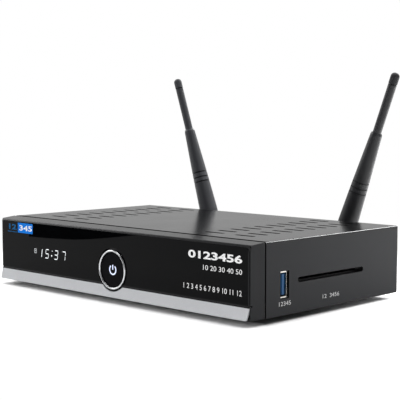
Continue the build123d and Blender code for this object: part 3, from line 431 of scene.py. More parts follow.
def painted_sheet(colours):
    """Satin charcoal paint on sheet steel: fine orange peel, cloudiness, sides painted paler as
    painted light.

    The sheet's cut edges are painted near black as painted shade: what lies between its two skins,
    past the bends, and the front edges of the sides and of the top, which is set back.
    """
    finish = Finish("painted_sheet", colours.paint, 0.3, ior=1.27)
    x, y, z = finish.axes()
    cloud = finish.noise(0.03, 3.0)
    grain = finish.noise(0.0006)
    peel = finish.noise(0.0022)
    bend_start, bend_end, bend_radius, past_bend = 0.0011, 0.0002, 0.00101, 0.0015
    skin, inner_skin, setback = 0.00006, 0.00074, 0.002
    # painted light: the cover's sides take a lighter copy of the paint, for the light that falls on
    # them
    lit_sides = abs(x).step(SIDE_FACE - bend_start, SIDE_FACE - bend_end)
    level = z.step(COVER_HIGH[2] - bend_start, COVER_HIGH[2] - bend_end)
    # a painted highlight along the bends between the top and the sides
    bend = lit_sides * level
    depth_x, depth_y, depth_z = SIDE_FACE - abs(x), y - GAP_PLANE, COVER_HIGH[2] - z
    # painted shade: the cut edges in the slots and cutouts and at the front gap, near black
    top_edge = (depth_z > skin) * (depth_z < inner_skin) * (depth_x > past_bend)
    side_edge = (depth_x > skin) * (depth_x < inner_skin) * (depth_z > past_bend)
    top_front = (depth_y < setback + skin) * (depth_x > bend_radius)
    cut = top_edge.most(side_edge).most(depth_y < skin).most(top_front)
    # random tone, with the painted highlight on the bends
    shade = (cloud - 0.5) * 0.16 + (grain - 0.5) * 0.22 + 0.5 + bend * 0.35
    # the top in the cover paint, the sides in its lighter copy as painted light
    skins = finish.blend(lit_sides, finish.shades(shade, colours.paint, 0.72, 1.3),
                         finish.shades(shade, colours.side_paint, 0.85, 1.15))
    finish.coat(finish.blend(cut, skins, tint(colours.paint, 0.1)),
                0.16 + (cloud - 0.5) * 0.05 + grain * 0.04 - bend * 0.03 + cut * 0.6
                + lit_sides * (1 - level) * 0.3)
    return finish.bump(peel * 0.7 + grain * 0.3, 0.00004, 0.5)


def moulded_plastic(colours):
    """Spark-textured dark plastic of the fascia, its sides behind the bezel painted paler as painted
    light.
    """
    finish = Finish("moulded_plastic", colours.plastic, 0.42, ior=1.3)
    grain = finish.cells(0.0007)
    cloud = finish.noise(0.02)
    x, y, _ = finish.axes()
    behind_bezel = y > WINDOW_FACE + 0.0004
    # painted light: the fascia's sides take the cover's lighter side paint
    side = abs(x).step(SIDE_FACE - 0.00085, SIDE_FACE - 0.00065) * behind_bezel
    plain = finish.shades(cloud * 0.5 + grain * 0.4, colours.plastic, 0.8, 1.25)
    finish.coat(finish.blend(side, plain, tint(colours.side_paint, 0.8)),
                0.14 + grain * 0.08 + (cloud - 0.5) * 0.05 + side * 0.3)
    return finish.bump(grain, 0.00003, 0.4)


def window_acrylic(colours):
    """Smoked acrylic, polished, with the faintest haze, fine wipe marks and a painted highlight on
    its end rims.
    """
    finish = Finish("window_acrylic", colours.window, 0.02, ior=1.17)
    haze = finish.noise(0.05, 4.0)
    wipes = finish.noise(0.004, 3.0, stretch=(0.12, 1, 1.6))
    # a painted highlight: the window's end rims a paler grey
    rim_width, rim_highlight_grey = 0.0006, (0.022, 0.022, 0.024)
    rim_highlight = abs(finish.axes()[0]) > WINDOW_HIGH[0] - rim_width
    smoke = finish.shades(haze, colours.window, 0.6, 1.6)
    return finish.coat(finish.blend(rim_highlight, smoke, rim_highlight_grey), 0.01 + haze * 0.012 + wipes * 0.01)


def silver_paint(colours):
    """Fine metallic silver paint of the trim strip, with a painted highlight along its upper edge.
    """
    finish = Finish("silver_paint", colours.silver, 0.4, metallic=0.35)
    flake = finish.cells(0.0003)
    drift = finish.noise(0.03, stretch=(0.3, 1, 1))
    # a painted highlight along the trim's upper edge
    crest_highlight = finish.axes()[2].step(TRIM_CREST - 0.0004, TRIM_CREST - 0.0001)
    paleness = flake * 0.4 + drift * 0.3 + crest_highlight * 0.5
    finish.coat(finish.shades(paleness, colours.silver, 0.92, 1.3), 0.36 + flake * 0.12)
    return finish.bump(flake)


def polished_chrome():
    """Bright plated ring, with the lightest turned lines."""
    finish = Finish("polished_chrome", (0.86, 0.87, 0.89), 0.12, metallic=1.0)
    x, _, z = finish.axes()
    dx, dz = x - BUTTON_CENTRE[0], z - BUTTON_CENTRE[2]
    radius = (dx * dx + dz * dz).root()
    line_pitch = 0.00022
    lines = (radius * (2 * math.pi / line_pitch)).sine() * 0.5 + 0.5
    finish.set("Roughness", 0.1 + lines * 0.06 + finish.noise(0.004) * 0.04)
    return finish


def satin_button(colours):
    """The button's black satin cap."""
    finish = Finish("satin_button", colours.button, 0.3, ior=1.1)
    grain = finish.noise(0.0005)
    finish.coat(finish.shades(grain, colours.button, 0.8, 1.3), 0.26 + grain * 0.1)
    return finish.bump(grain)


def glowing(name, colour, strength):
    """A lit marking, its light a little cloudy."""
    finish = Finish(name, tint(colour, 0.4), 0.4, emission_strength=strength)
    cloud = finish.noise(0.0012, 1.0)
    finish.set("Emission Color", finish.shades(cloud, colour, 0.85, 1.0))
    return finish


def ink(name, colour, roughness=0.5):
    """Screen-printed ink: a touch uneven."""
    finish = Finish(name, colour, roughness, ior=1.2)
    speck = finish.noise(0.0004)
    return finish.coat(finish.shades(speck, colour, 0.92, 1.0), roughness - 0.06 + speck * 0.12)


def plain_metal(name, colour, roughness, grain_size=0.0008):
    """Plated or drawn metal with a fine grain."""
    finish = Finish(name, colour, roughness, metallic=1.0)
    grain = finish.noise(grain_size, 3.0)
    stain = finish.noise(0.008)
    finish.coat(finish.shades(stain, colour, 0.85, 1.08), roughness - 0.06 + grain * 0.14)
    return finish.bump(grain, 0.000008, 0.4)


def socket_plastic(name, colour, roughness=0.45):
    """Moulded plastic of sockets and small parts."""
    finish = Finish(name, colour, roughness)
    grain = finish.cells(0.0005)
    finish.coat(finish.shades(grain, colour, 0.85, 1.2), roughness - 0.05 + grain * 0.12)
    return finish.bump(grain)


def foot_rubber():
    """Matt black rubber with a dusty bloom."""
    finish = Finish("foot_rubber", (0.03, 0.03, 0.03), 0.8)
    dust = finish.noise(0.003, 4.0)
    finish.coat(finish.blend(dust, (0.02, 0.02, 0.02), (0.05, 0.05, 0.048)), 0.72 + dust * 0.2)
    return finish.bump(finish.cells(0.0008), 0.00005, 0.5)


SOLDER_MASK = (0.012, 0.09, 0.04)
BARE_COPPER = (0.6, 0.5, 0.3)


def circuit_board():
    """Green solder mask over copper tracks, with drilled vias.

    A track is where a sine across the lanes is high, and patches of noise turn the lanes.
    """
    finish = Finish("circuit_board", SOLDER_MASK, 0.35)
    x, y, z = finish.axes()
    pitch_x, pitch_y, via_radius = 0.0021, 0.0018, 0.09
    lanes_x = (x * (2 * math.pi / pitch_x)).sine() > 0.35
    lanes_y = ((y + z) * (2 * math.pi / pitch_y)).sine() > 0.5
    patch = finish.noise(0.012, 1.0) > 0.5
    tracks = lanes_x * patch + lanes_y * (1 - patch)
    vias = finish.cells(0.004) < via_radius
    board = finish.blend(tracks, SOLDER_MASK, (0.03, 0.17, 0.07))
    finish.coat(finish.blend(vias, board, BARE_COPPER), 0.3 + tracks * 0.08)
    return finish.bump(tracks, 0.00003, 0.5)


def antenna_plastic(colours, side):
    """Fine-matt black plastic of one antenna, painted lighter or darker for the light on it: painted
    shade in its grooves, dark at its cap's seam, lighter on the lands between the grooves and on the
    sleeve's end.

    Height along the mast is the part along it of a point's way from the elbow's pin.
    """
    shade, depth = ANTENNA_PAINTED_LIGHT[side]
    # painted light: one plastic, lighter on one antenna and darker on the other
    plastic = tint(colours.antenna, shade)
    finish = Finish("antenna_plastic_" + side, plastic, 0.4)
    grain = finish.noise(0.0007, 3.0)
    cloud = finish.noise(0.02)
    elbow = middle(side + "_antenna_pin")
    mast = middle(side + "_antenna_cap") - elbow
    mast /= np.linalg.norm(mast)
    x, y, z = finish.axes()
    height = (x - elbow[0]) * mast[0] + (y - elbow[1]) * mast[1] + (z - elbow[2]) * mast[2]
    half_seam, half_groove, half_end = 0.0003, 0.0004, 0.0013
    # dark at the cap's seam, a joint, and in the grooves as painted shade
    dark = abs(height - CAP_SEAM) < half_seam
    for groove in SLEEVE_GROOVES:
        dark = dark.most(abs(height - groove) < half_groove)
    # lighter bands: the lands between the grooves and the sleeve's end
    lands = (height > SLEEVE_GROOVES[0]) * (height < SLEEVE_GROOVES[-1])
    lighter_bands = (abs(height - SLEEVE_END) < half_end) * 0.8 + lands * 0.5
    plain = finish.shades(grain * 0.5 + cloud * 0.5 + lighter_bands, plastic, 0.8, 1.3)
    finish.coat(finish.blend(dark, plain, tint(plastic, 1 - depth)),
                0.34 + grain * 0.12 + (height > CAP_SEAM) * 0.25)
    # Metallic with the dark colour also puts out the grooves' gloss: painted shade
    finish.set("Metallic", dark * depth)
    return finish.bump(grain, 0.00002, 0.4)


def ribbed_foot(colours, side):
    """The antenna's foot: the same plastic with grip ribs along its round barrel."""
    finish = Finish("ribbed_foot_" + side, colours.antenna, 0.42)
    x, y, z = finish.axes()
    nut = middle(side + "_antenna_nut")
    rib_count = 28
    ribs = ((z - nut[2]).angle(x - nut[0]) * rib_count).sine() * 0.5 + 0.5
    along = y - nut[1]
    on_barrel = along.step(0.0006, 0.0014) * (1 - along.step(0.0055, 0.0062))
    grain = finish.noise(0.0007)
    finish.coat(finish.shades(grain, colours.antenna, 0.85, 1.2), 0.38 + grain * 0.1)
    return finish.bump(ribs * on_barrel + grain * 0.05, 0.0004, 0.8)


# ---- what a user may change --------------------------------------------------------------------

def length(name, description, default):
    """A length in metres."""
    return bpy.props.FloatProperty(name=name, description=description, default=default, min=0.0,
                                   subtype="DISTANCE", unit="LENGTH")


def swatch(name, description, default):
    """A colour."""
    return bpy.props.FloatVectorProperty(name=name, description=description, default=default,
                                         size=3, min=0.0, max=1.0, subtype="COLOR")


class ReceiverSizes(bpy.types.PropertyGroup):
    """Sizes of the markings, the screw threads and the studio."""
    digit_height: length("Digit height", "Height of the clock's digits", 0.0059)
    digit_width: length("Digit width", "Width of one digit", 0.0036)
    digit_stroke: length("Digit stroke", "Width of a digit's segments", 0.00052)
    digit_slant: bpy.props.FloatProperty(
        name="Digit slant", description="Lean of the clock's digits", default=math.radians(10),
        subtype="ANGLE", unit="ROTATION")
    ink_height: length("Ink height", "How far prints stand in front of a surface", 0.00003)
    thread_pitch: length("Thread pitch", "Pitch of the dish sockets' thread", 0.0008)
    floor_size: length("Floor size", "Edge of the studio floor", 12.0)


class ReceiverColours(bpy.types.PropertyGroup):
    """Colours of the case and its markings."""
    paint: swatch("Cover paint", "Satin paint of the sheet-metal cover", (0.008, 0.0082, 0.0088))
    # the cover paint painted lighter for the cover's sides, as painted light for the light that
    # falls on them; the fascia's sides take it too
    side_paint: swatch("Cover side paint", "The same paint on the rubbed-down sides of the cover",
                       (0.0235, 0.0242, 0.0265))
    plastic: swatch("Fascia plastic", "Moulded fascia", (0.007, 0.0073, 0.008))
    window: swatch("Window", "Smoked acrylic window", (0.0012, 0.0013, 0.0016))
    silver: swatch("Trim", "Silver paint of the trim strip", (0.57, 0.58, 0.6))
    button: swatch("Button", "Face of the power button", (0.004, 0.004, 0.005))
    antenna: swatch("Antennas", "Plastic of the antennas", (0.029, 0.03, 0.034))
    digits: swatch("Clock digits", "Light of the clock", (0.94, 0.98, 1.0))
    symbol: swatch("Power symbol", "Light of the power symbol", (0.72, 0.78, 1.0))
    badge: swatch("Badge", "Field of the badge on the window", (0.0, 0.19, 0.74))
    white_ink: swatch("White ink", "Printed numbers", (0.97, 0.97, 0.97))


# ---- one operator for each group of pieces ------------------------------------------------------

class PieceOperator:
    """What every operator here shares."""
    bl_options = {"REGISTER", "UNDO"}

    @property
    def sizes(self):
        return bpy.context.scene.receiver_sizes

    @property
    def colours(self):
        return bpy.context.scene.receiver_colours


class RECEIVER_OT_case(PieceOperator, bpy.types.Operator):
    """Finish the cover, the tray, the feet and the screws"""
    bl_idname = "receiver.case"
    bl_label = "Case"

    def execute(self, context):
        dress(painted_sheet(self.colours), "top_cover")
        dress(plain_metal("tray_steel", (0.3, 0.3, 0.31), 0.42, 0.003), "base_tray")
        dress(foot_rubber(), "feet")
        dress(plain_metal("black_screws", (0.09, 0.09, 0.095), 0.35), "cover_screws")
        dress(plain_metal("zinc_screws", (0.62, 0.61, 0.56), 0.3), "fascia_screws",
              "board_screws", "push_switch")
        return {"FINISHED"}


class RECEIVER_OT_fascia(PieceOperator, bpy.types.Operator):
    """Finish the fascia, the window, the trim and the power button"""
    bl_idname = "receiver.fascia"
    bl_label = "Fascia"

    def execute(self, context):
        dress(moulded_plastic(self.colours), "fascia_frame")
        dress(window_acrylic(self.colours), "display_window")
        dress(silver_paint(self.colours), "trim_strip")
        dress(polished_chrome(), "button_ring")
        dress(satin_button(self.colours), "power_button")
        dress(glowing("symbol_light", self.colours.symbol, 1.0), "power_symbol")
        dress(socket_plastic("black_mouldings", (0.02, 0.02, 0.021)), "display_module",
              "switch_plunger")
        dress(socket_plastic("infrared_lens", (0.03, 0.008, 0.012), 0.15), "infrared_receiver")
        return {"FINISHED"}


# the clock, in case mm: the height of the figures' foot, each figure's left edge there, and the
# colon's two dots as x, height over the foot and half a size
CLOCK_FOOT = 17.2
CLOCK_FIGURES = ((-70.0, "1"), (-63.1, "5"), (-54.0, "3"), (-46.5, "7"))
LOWER_DOT = (-56.2, 2.1, 0.45)
UPPER_DOT = (-55.6, 5.0, 0.35)

# segments by their usual letters, and i for a figure's whole right side in one piece
SEGMENTS = {"1": "i", "5": "afgcd", "3": "abgcd", "7": "abc"}
BRIGHT_SEGMENTS = "adgi"
SEGMENT_GAP = 0.12


class RECEIVER_OT_clock(PieceOperator, bpy.types.Operator):
    """Make the clock's lit segments, colon and icon just in front of the window"""
    bl_idname = "receiver.clock"
    bl_label = "Clock"

    def segment(self, letter):
        """One segment of an upright digit as a long hexagon of (u, v) millimetres.

        It runs from one end point to the other, pointed at both ends, half a stroke to each
        side, with a small gap to its neighbours.
        """
        w, h = self.sizes.digit_width / MM, self.sizes.digit_height / MM
        half = self.sizes.digit_stroke / MM / 2
        ends = {"a": ((0, h), (w, h)), "b": ((w, h), (w, h / 2)), "c": ((w, h / 2), (w, 0)),
                "d": ((0, 0), (w, 0)), "f": ((0, h / 2), (0, h)), "g": ((0, h / 2), (w, h / 2)),
                "i": ((w, h), (w, 0))}
        start, end = np.clip(ends[letter], [half, half], [w - half, h - half])
        along = (end - start) / np.linalg.norm(end - start)
        start, end = start + along * SEGMENT_GAP, end - along * SEGMENT_GAP
        tip, side = along * half, np.array([-along[1], along[0]]) * half
        return [start, start + tip - side, end - tip - side, end, end - tip + side,
                start + tip + side]

    def execute(self, context):
        lean = math.tan(self.sizes.digit_slant)
        bright, soft = [], []
        for left, figure in CLOCK_FIGURES:
            for letter in SEGMENTS[figure]:
                outline = [(left + u + v * lean, v) for u, v in self.segment(letter)]
                (bright if letter in BRIGHT_SEGMENTS else soft).append(outline)
        corner = 0.2
        for outlines, (u, v, half) in ((bright, LOWER_DOT), (soft, UPPER_DOT)):
            outlines.append(round_rectangle(u - half, u + half, v - half, v + half, corner, 3))
        left, right, stroke = -73.9, -71.7, 0.45
        icon = frame_strips(left, right, 2.4, 4.1, stroke) + frame_strips(
            left, right, 3.9, 5.3, stroke)
        for name, outlines, light, strength in (
                ("clock_level_segments", bright, "clock_light", 1.0),
                ("clock_upright_segments", soft, "clock_soft_light", 0.6),
                ("clock_icon", icon, "icon_light", 0.17)):
            printed(name, outlines, case_point(0, WINDOW_PLANE, CLOCK_FOOT), FRONT,
                    glowing(light, self.colours.digits, strength), "display_module")
        return {"FINISHED"}


# the window's rows of numbers: name, text, right end and foot in case mm, height, width, weight
WINDOW_ROWS = (("upper", "0123456", 103.9, 29.6, 4.3, 39.6, 0.03),
               ("middle", "10 20 30 40 50", 103.8, 23.8, 2.7, 28.2, 0.0),
               ("lower", "1 2 3 4 5 6 7 8 9 10 11 12", 103.6, 12.5, 2.9, 42.9, 0.0))


class RECEIVER_OT_markings(PieceOperator, bpy.types.Operator):
    """Print the badge's field and the plain numbers on the window and the side"""
    bl_idname = "receiver.markings"
    bl_label = "Printed markings"

    def execute(self, context):
        white = ink("white_ink", self.colours.white_ink)
        self.badge(white)
        for name, text, x, z, height, width, weight in WINDOW_ROWS:
            numerals(name + "_numbers", text, case_point(x, WINDOW_PLANE, z), FRONT, height,
                     white, width, weight=weight)
        grey = ink("side_ink", tint(self.colours.white_ink, 0.75))
        for name, text, y, z, width in (("usb_numbers", "12345", 10.5, 5.2, 9.8),
                                        ("card_numbers", "12  3456", 48.0, 5.0, 15.0)):
            numerals(name, text, case_point(SIDE_WALL, y, z), RIGHT, 2.3, grey, width,
                     anchor=0.0, slot="top_cover")
        return {"FINISHED"}

    def badge(self, white):
        """A blue field with white numbers, and beside it a thin line under dim numbers."""
        origin = case_point(0, WINDOW_PLANE, 0)
        blue = ink("badge_field", self.colours.badge, 0.35)
        dim_blue = ink("badge_dim_blue", (0.001, 0.1, 0.27), 0.35)
        field = [round_rectangle(-91.3, -75.6, 31.3, 37.7, 0.5, 4)]
        printed("badge_field", field, origin, FRONT, blue, "display_window")
        numerals("badge_numbers", "345", case_point(-76.3, WINDOW_PLANE, 32.8), FRONT, 3.4, white,
                 13.4, weight=0.015, layer=2)
        line = [rectangle(-102.4, -91.6, 31.3, 31.7)]
        printed("badge_line", line, origin, FRONT, dim_blue, "display_window")
        numerals("badge_dim_numbers", "12", case_point(-93.0, WINDOW_PLANE, 32.9), FRONT, 3.6,
                 dim_blue, 8.0, weight=0.03)


# in case mm: middles of the rear sockets, from left to right as seen from the front
POWER_X = -97
DISH_X = (-36, -18)
AERIAL_X = 4
PICTURE_X = 22
OPTICAL_X = 36
SOUND_X, SOUND_Z = 46.5, 12.2
NETWORK_X = 76
DOUBLE_X = 94
TUNER_Z = 15.7

# in case mm: the dish sockets' ends, and the radii of their barrels
DISH_FRONT = REAR_WALL - 2.8
DISH_END = REAR_WALL + 7.2
BARREL = 4.9
THREAD_ROOT = 4.36
THREAD_RISE = 0.34
BARREL_TIP = 4.0
RECESS = 3.4
CONTACT_HOLE = 0.8


def network_jack():
    """The network socket: a plated can outside, black plastic inside its opening."""
    finish = Finish("network_jack", (0.62, 0.62, 0.6), 0.35)
    x, y, z = finish.axes()
    half_opening = 5.95
    low = case_point(NETWORK_X - half_opening, 0, BOARD_TOP + 1)
    high = case_point(NETWORK_X + half_opening, REAR_WALL + 0.4, BOARD_TOP + 10.3)
    inside = (x > low[0]) * (x < high[0]) * (z > low[2]) * (z < high[2]) * (y < high[1])
    grain = finish.noise(0.0009, 3.0)
    plated = finish.blend(grain, (0.55, 0.55, 0.53), (0.68, 0.68, 0.65))
    finish.coat(finish.blend(inside, plated, (0.015, 0.015, 0.016)),
                0.28 + grain * 0.12 + inside * 0.15)
    finish.set("Metallic", 1 - inside)
    return finish.bump(grain)


def wireless_finish():
    """The wireless board: green mask with copper spots below, a tinned screening can above."""
    finish = Finish("wireless_board", SOLDER_MASK, 0.35)
    can = finish.axes()[2] > case_point(0, 0, BOARD_TOP + 1.02)[2]
    grain = finish.noise(0.0016, 3.0)
    spots = finish.cells(0.003) < 0.1
    mask = finish.blend(spots, SOLDER_MASK, BARE_COPPER)
    finish.coat(finish.blend(can, mask, (0.6, 0.6, 0.58)), 0.3 + grain * 0.14)
    finish.set("Metallic", can)
    return finish.bump(grain, 0.00001, 0.4)


class RECEIVER_OT_sockets(PieceOperator, bpy.types.Operator):
    """Finish the sockets on the side and the back, with threads, insulators and contacts"""
    bl_idname = "receiver.sockets"
    bl_label = "Sockets"

    def threaded_barrel(self, x):
        """One dish socket: a plain root, the plug's thread, a recess and the contact's hole."""
        start, end = REAR_WALL + 2.0, DISH_END - 0.4
        floor, hole_end = DISH_END - 0.5, DISH_END - 6
        pitch, rows_in_pitch = self.sizes.thread_pitch / MM, 12
        rows = np.linspace(start, end, int((end - start) / pitch * rows_in_pitch))
        profile = [(DISH_FRONT, 0), (DISH_FRONT, BARREL), (start, BARREL)]
        profile += [(y, THREAD_ROOT) for y in rows]
        profile += [(DISH_END, BARREL_TIP), (DISH_END, RECESS), (floor, RECESS),
                    (floor, CONTACT_HOLE), (hole_end, CONTACT_HOLE), (hole_end, 0)]
        return turned(profile, x, TUNER_Z, thread=(start, end, pitch, THREAD_RISE))

    def execute(self, context):
        nickel = plain_metal("nickel_plate", (0.66, 0.64, 0.6), 0.24)
        gold = plain_metal("gold_plate", (0.85, 0.62, 0.25), 0.22)
        white = socket_plastic("white_insulator", (0.75, 0.75, 0.72), 0.4)
        dress(nickel, "f_connectors", "f_connector_nuts", "aerial_socket", "hdmi_port",
              "rear_usb_shell", "side_usb_shell", "contact_pins")
        dress(gold, "antenna_sockets", "antenna_socket_nuts", "board_standoffs",
              "left_antenna_nut", "right_antenna_nut")
        dress(plain_metal("tin_plate", (0.62, 0.62, 0.6), 0.38, 0.002), "satellite_tuner",
              "terrestrial_tuner")
        dress(network_jack(), "lan_jack")
        dress(socket_plastic("black_sockets", (0.018, 0.018, 0.019)), "dc_jack", "optical_port",
              "optical_shutter", "rocker_housing", "rocker_switch", "card_reader")
        dress(socket_plastic("yellow_socket", (0.75, 0.5, 0.03)), "av_jack")
        dress(socket_plastic("blue_tongue", (0.0, 0.09, 0.26), 0.4), "side_usb_tongue",
              "rear_usb_tongues")
        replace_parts(add_piece("dish_socket_threads", *joined(
            [self.threaded_barrel(x) for x in DISH_X]), nickel, "f_connectors"),
            "f_connectors")
        rings = [washer(DISH_END - 0.55, DISH_END - 0.3, 0.9, 3.38, x, TUNER_Z) for x in DISH_X]
        rings.append(washer(REAR_WALL - 1, REAR_WALL + 1, 1.22, 4.78, AERIAL_X, TUNER_Z))
        add_piece("socket_insulators", *joined(rings), white, "aerial_socket")
        lip = REAR_WALL + 1.4
        add_piece("av_contact", *washer(lip - 0.3, lip + 0.06, 1.82, 2.4, SOUND_X, SOUND_Z),
                  gold, "av_jack")
        self.contacts(gold)
        lights = repeated((NETWORK_X - 1.6, NETWORK_X + 1.6, REAR_WALL + 0.4, REAR_WALL + 0.6,
                           BOARD_TOP + 11, BOARD_TOP + 12.8), 0, (-5.4, 5.4))
        add_piece("network_lights", *boxes(lights), socket_plastic(
            "network_light_lens", (0.35, 0.55, 0.2), 0.2), "lan_jack")
        self.numbers()
        return {"FINISHED"}

    def contacts(self, gold):
        """The gold contact strips of the network, picture, double and side sockets."""
        network = repeated((72.38, 72.82, 105.8, 114.35, 17.27, 18.1), 0, np.arange(8) * 1.02)
        add_piece("network_contacts", *boxes(network), gold, "lan_jack")
        picture = [repeated((PICTURE_X - 0.25, PICTURE_X + 0.25, 112, 118.9, z, z + 0.05), 0,
                            np.arange(-4.5, 5)) for z in (12.0, 10.95)]
        add_piece("hdmi_contacts", *boxes(np.concatenate(picture)), gold, "hdmi_port")
        four = (-3.5, -1.0, 1.0, 3.5)
        double = [repeated((DOUBLE_X - 0.5, DOUBLE_X + 0.5, 111, 118.6, z - 0.06, z), 0, four)
                  for z in (BOARD_TOP + 4.3, BOARD_TOP + 12.2)]
        add_piece("rear_usb_contacts", *boxes(np.concatenate(double)), gold, "rear_usb_tongues")
        upright = repeated((100, 106.5, 14.54, 14.6, 16, 17), 2, four)
        add_piece("side_usb_contacts", *boxes(upright), gold, "side_usb_tongue")

    def numbers(self):
        """Plain numbers over the rear sockets, and on the two sides of the power rocker."""
        dark = ink("rear_ink", (0.02, 0.02, 0.02))
        row_foot = 26.5
        for number, x in enumerate((POWER_X, *DISH_X, AERIAL_X, PICTURE_X, OPTICAL_X, SOUND_X,
                                    NETWORK_X, DOUBLE_X), start=1):
            numerals(f"rear_number_{number}", str(number), case_point(x, REAR_WALL, row_foot),
                     REAR, 2.6, dark, anchor=0.5, slot="base_tray")
        white = ink("rocker_ink", (0.8, 0.8, 0.8))
        # the rocker is tilted, and its face is a shallow vee that slopes outwards from its middle
        tilt, slope = math.radians(8), math.atan2(1.1, 7.2)
        axis = case_point(-80, REAR_WALL - 1.4, 21)
        vee = axis + 1.9 * MM * np.array([0, math.cos(tilt), -math.sin(tilt)])
        for name, text, way, foot in (("rocker_upper_mark", "1", 1, 2.6),
                                      ("rocker_lower_mark", "0", -1, -4.8)):
            lean = tilt + way * slope
            side = (REAR[0], np.array([0, math.sin(lean), math.cos(lean)]))
            numerals(name, text, vee + side[1] * MM * foot, side, 2.2, white, anchor=0.5,
                     slot="rocker_switch", body="power_rocker")


# in case mm: x, y, radius and height of each capacitor on the main board
CAPACITORS = ((-88, 34, 5, 13), (-74, 34, 5, 13), (-60, 34, 4, 11),
              (-88, 50, 4, 11), (-76, 50, 3.2, 8), (-46, 30, 3.2, 8))

# in case mm: rows of small chips as first x and y, step in x and y, and number
CHIP_ROWS = ((-34, 32, 3.2, 0, 12), (-34, 80, 3.2, 0, 10), (10, 36, 0, 3.4, 11),
             (38, 30, 0, 3.6, 16), (64, 100, 3.0, 0, 10), (-56, 62, 0, 3.4, 6))


class RECEIVER_OT_inside(PieceOperator, bpy.types.Operator):
    """Finish the boards and the components on them, with legs, caps and small parts"""
    bl_idname = "receiver.inside"
    bl_label = "Inside"

    def execute(self, context):
        resin = socket_plastic("chip_resin", (0.025, 0.025, 0.027), 0.55)
        dress(circuit_board(), "main_board", "front_board")
        dress(wireless_finish(), "wireless_module")
        dress(resin, "processor", "memory_chips", "inductors")
        dress(plain_metal("black_anodised", (0.05, 0.05, 0.052), 0.45), "heat_sink")
        dress(socket_plastic("capacitor_sleeve", (0.03, 0.04, 0.12), 0.3), "capacitors")
        dress(socket_plastic("ribbon_cable", (0.7, 0.7, 0.66)), "front_ribbon")
        dress(socket_plastic("lead_jacket", (0.02, 0.02, 0.02)), "antenna_leads")
        self.capacitor_tops()
        legs = [repeated((x, x + 1.3, 50.6, 50.95, BOARD_TOP, BOARD_TOP + 0.25), 1,
                         np.arange(14) * 0.8) for x in (-49.2, -34.1)]
        tin = plain_metal("tinned_legs", (0.7, 0.7, 0.68), 0.3)
        add_piece("flash_chip_legs", *boxes(np.concatenate(legs)), tin, "memory_chips")
        self.small_parts(tin)
        return {"FINISHED"}

    def capacitor_tops(self):
        """Aluminium discs on the capacitors: a circle of radius r - 0.7 just above each can."""
        discs = []
        t = np.linspace(0, 2 * math.pi, 32, endpoint=False)
        for x, y, radius, height in CAPACITORS:
            edge = np.stack([x + (radius - 0.7) * np.cos(t), y + (radius - 0.7) * np.sin(t),
                             np.full_like(t, BOARD_TOP + height + 0.02)], axis=-1)
            discs.append((case_points(edge), [list(range(len(t)))]))
        add_piece("capacitor_tops", *joined(discs), plain_metal(
            "capacitor_aluminium", (0.75, 0.75, 0.76), 0.3), "capacitors")

    def small_parts(self, tin):
        """Rows of chip resistors and capacitors: dark or tan bodies between two tinned ends."""
        places = np.concatenate([np.array([x, y]) + np.arange(count)[:, None] * (dx, dy)
                                 for x, y, dx, dy, count in CHIP_ROWS])
        x, y = places.T[:, :, None]
        z = np.full_like(x, BOARD_TOP)

        def blocks(x0, x1, half, height):
            """A box at every place, from x0 to x1 past it and half to each side of it."""
            return np.concatenate([x + x0, x + x1, y - half, y + half, z, z + height], axis=1)

        bodies = blocks(-0.55, 0.55, 0.42, 0.5)
        ends = [blocks(-0.85, -0.55, 0.45, 0.54), blocks(0.55, 0.85, 0.45, 0.54)]
        tan = socket_plastic("chip_capacitor_body", (0.32, 0.2, 0.1), 0.5)
        black = socket_plastic("chip_resistor_body", (0.02, 0.02, 0.022), 0.4)
        add_piece("chip_capacitors", *boxes(bodies[::2]), tan, "main_board")
        add_piece("chip_resistors", *boxes(bodies[1::2]), black, "main_board")
        add_piece("chip_ends", *boxes(np.concatenate(ends)), tin, "main_board")


class RECEIVER_OT_antennas(PieceOperator, bpy.types.Operator):
    """Finish the two antennas"""
    bl_idname = "receiver.antennas"
    bl_label = "Antennas"

    def execute(self, context):
        for side in ("left", "right"):
            dress(antenna_plastic(self.colours, side),
                  *(f"{side}_antenna_{part}" for part in ("sleeve", "whip", "cap")))
            dress(ribbed_foot(self.colours, side), side + "_antenna_hub")
        dress(plain_metal("pin_steel", (0.5, 0.5, 0.5), 0.3), "left_antenna_pin",
              "right_antenna_pin")
        return {"FINISHED"}


# the camera's place in case mm, how far it looks down and is turned, in degrees, and its lens
CAMERA_PLACE = (467.41, -413.95, 104.28)
CAMERA_DOWN = 4.381
CAMERA_ROUND = 44.423
CAMERA_LENS = 95.017

# in case mm: a black flag at the left in front of the case, round at its near corner, which the
# upper left part of the window reflects
LEFT_FLAG = ((-307, -179), (-284, -182), (-259, -191), (-251, -203), (-247, -225), (-246, -254),
             (-246, -3000), (-2740, -3000), (-2740, -1934))
FLAG_HEIGHT = 2


def square(size):
    """Corners of a level square round the origin."""
    half = size / 2
    return [(-half, -half, 0), (half, -half, 0), (half, half, 0), (-half, half, 0)]


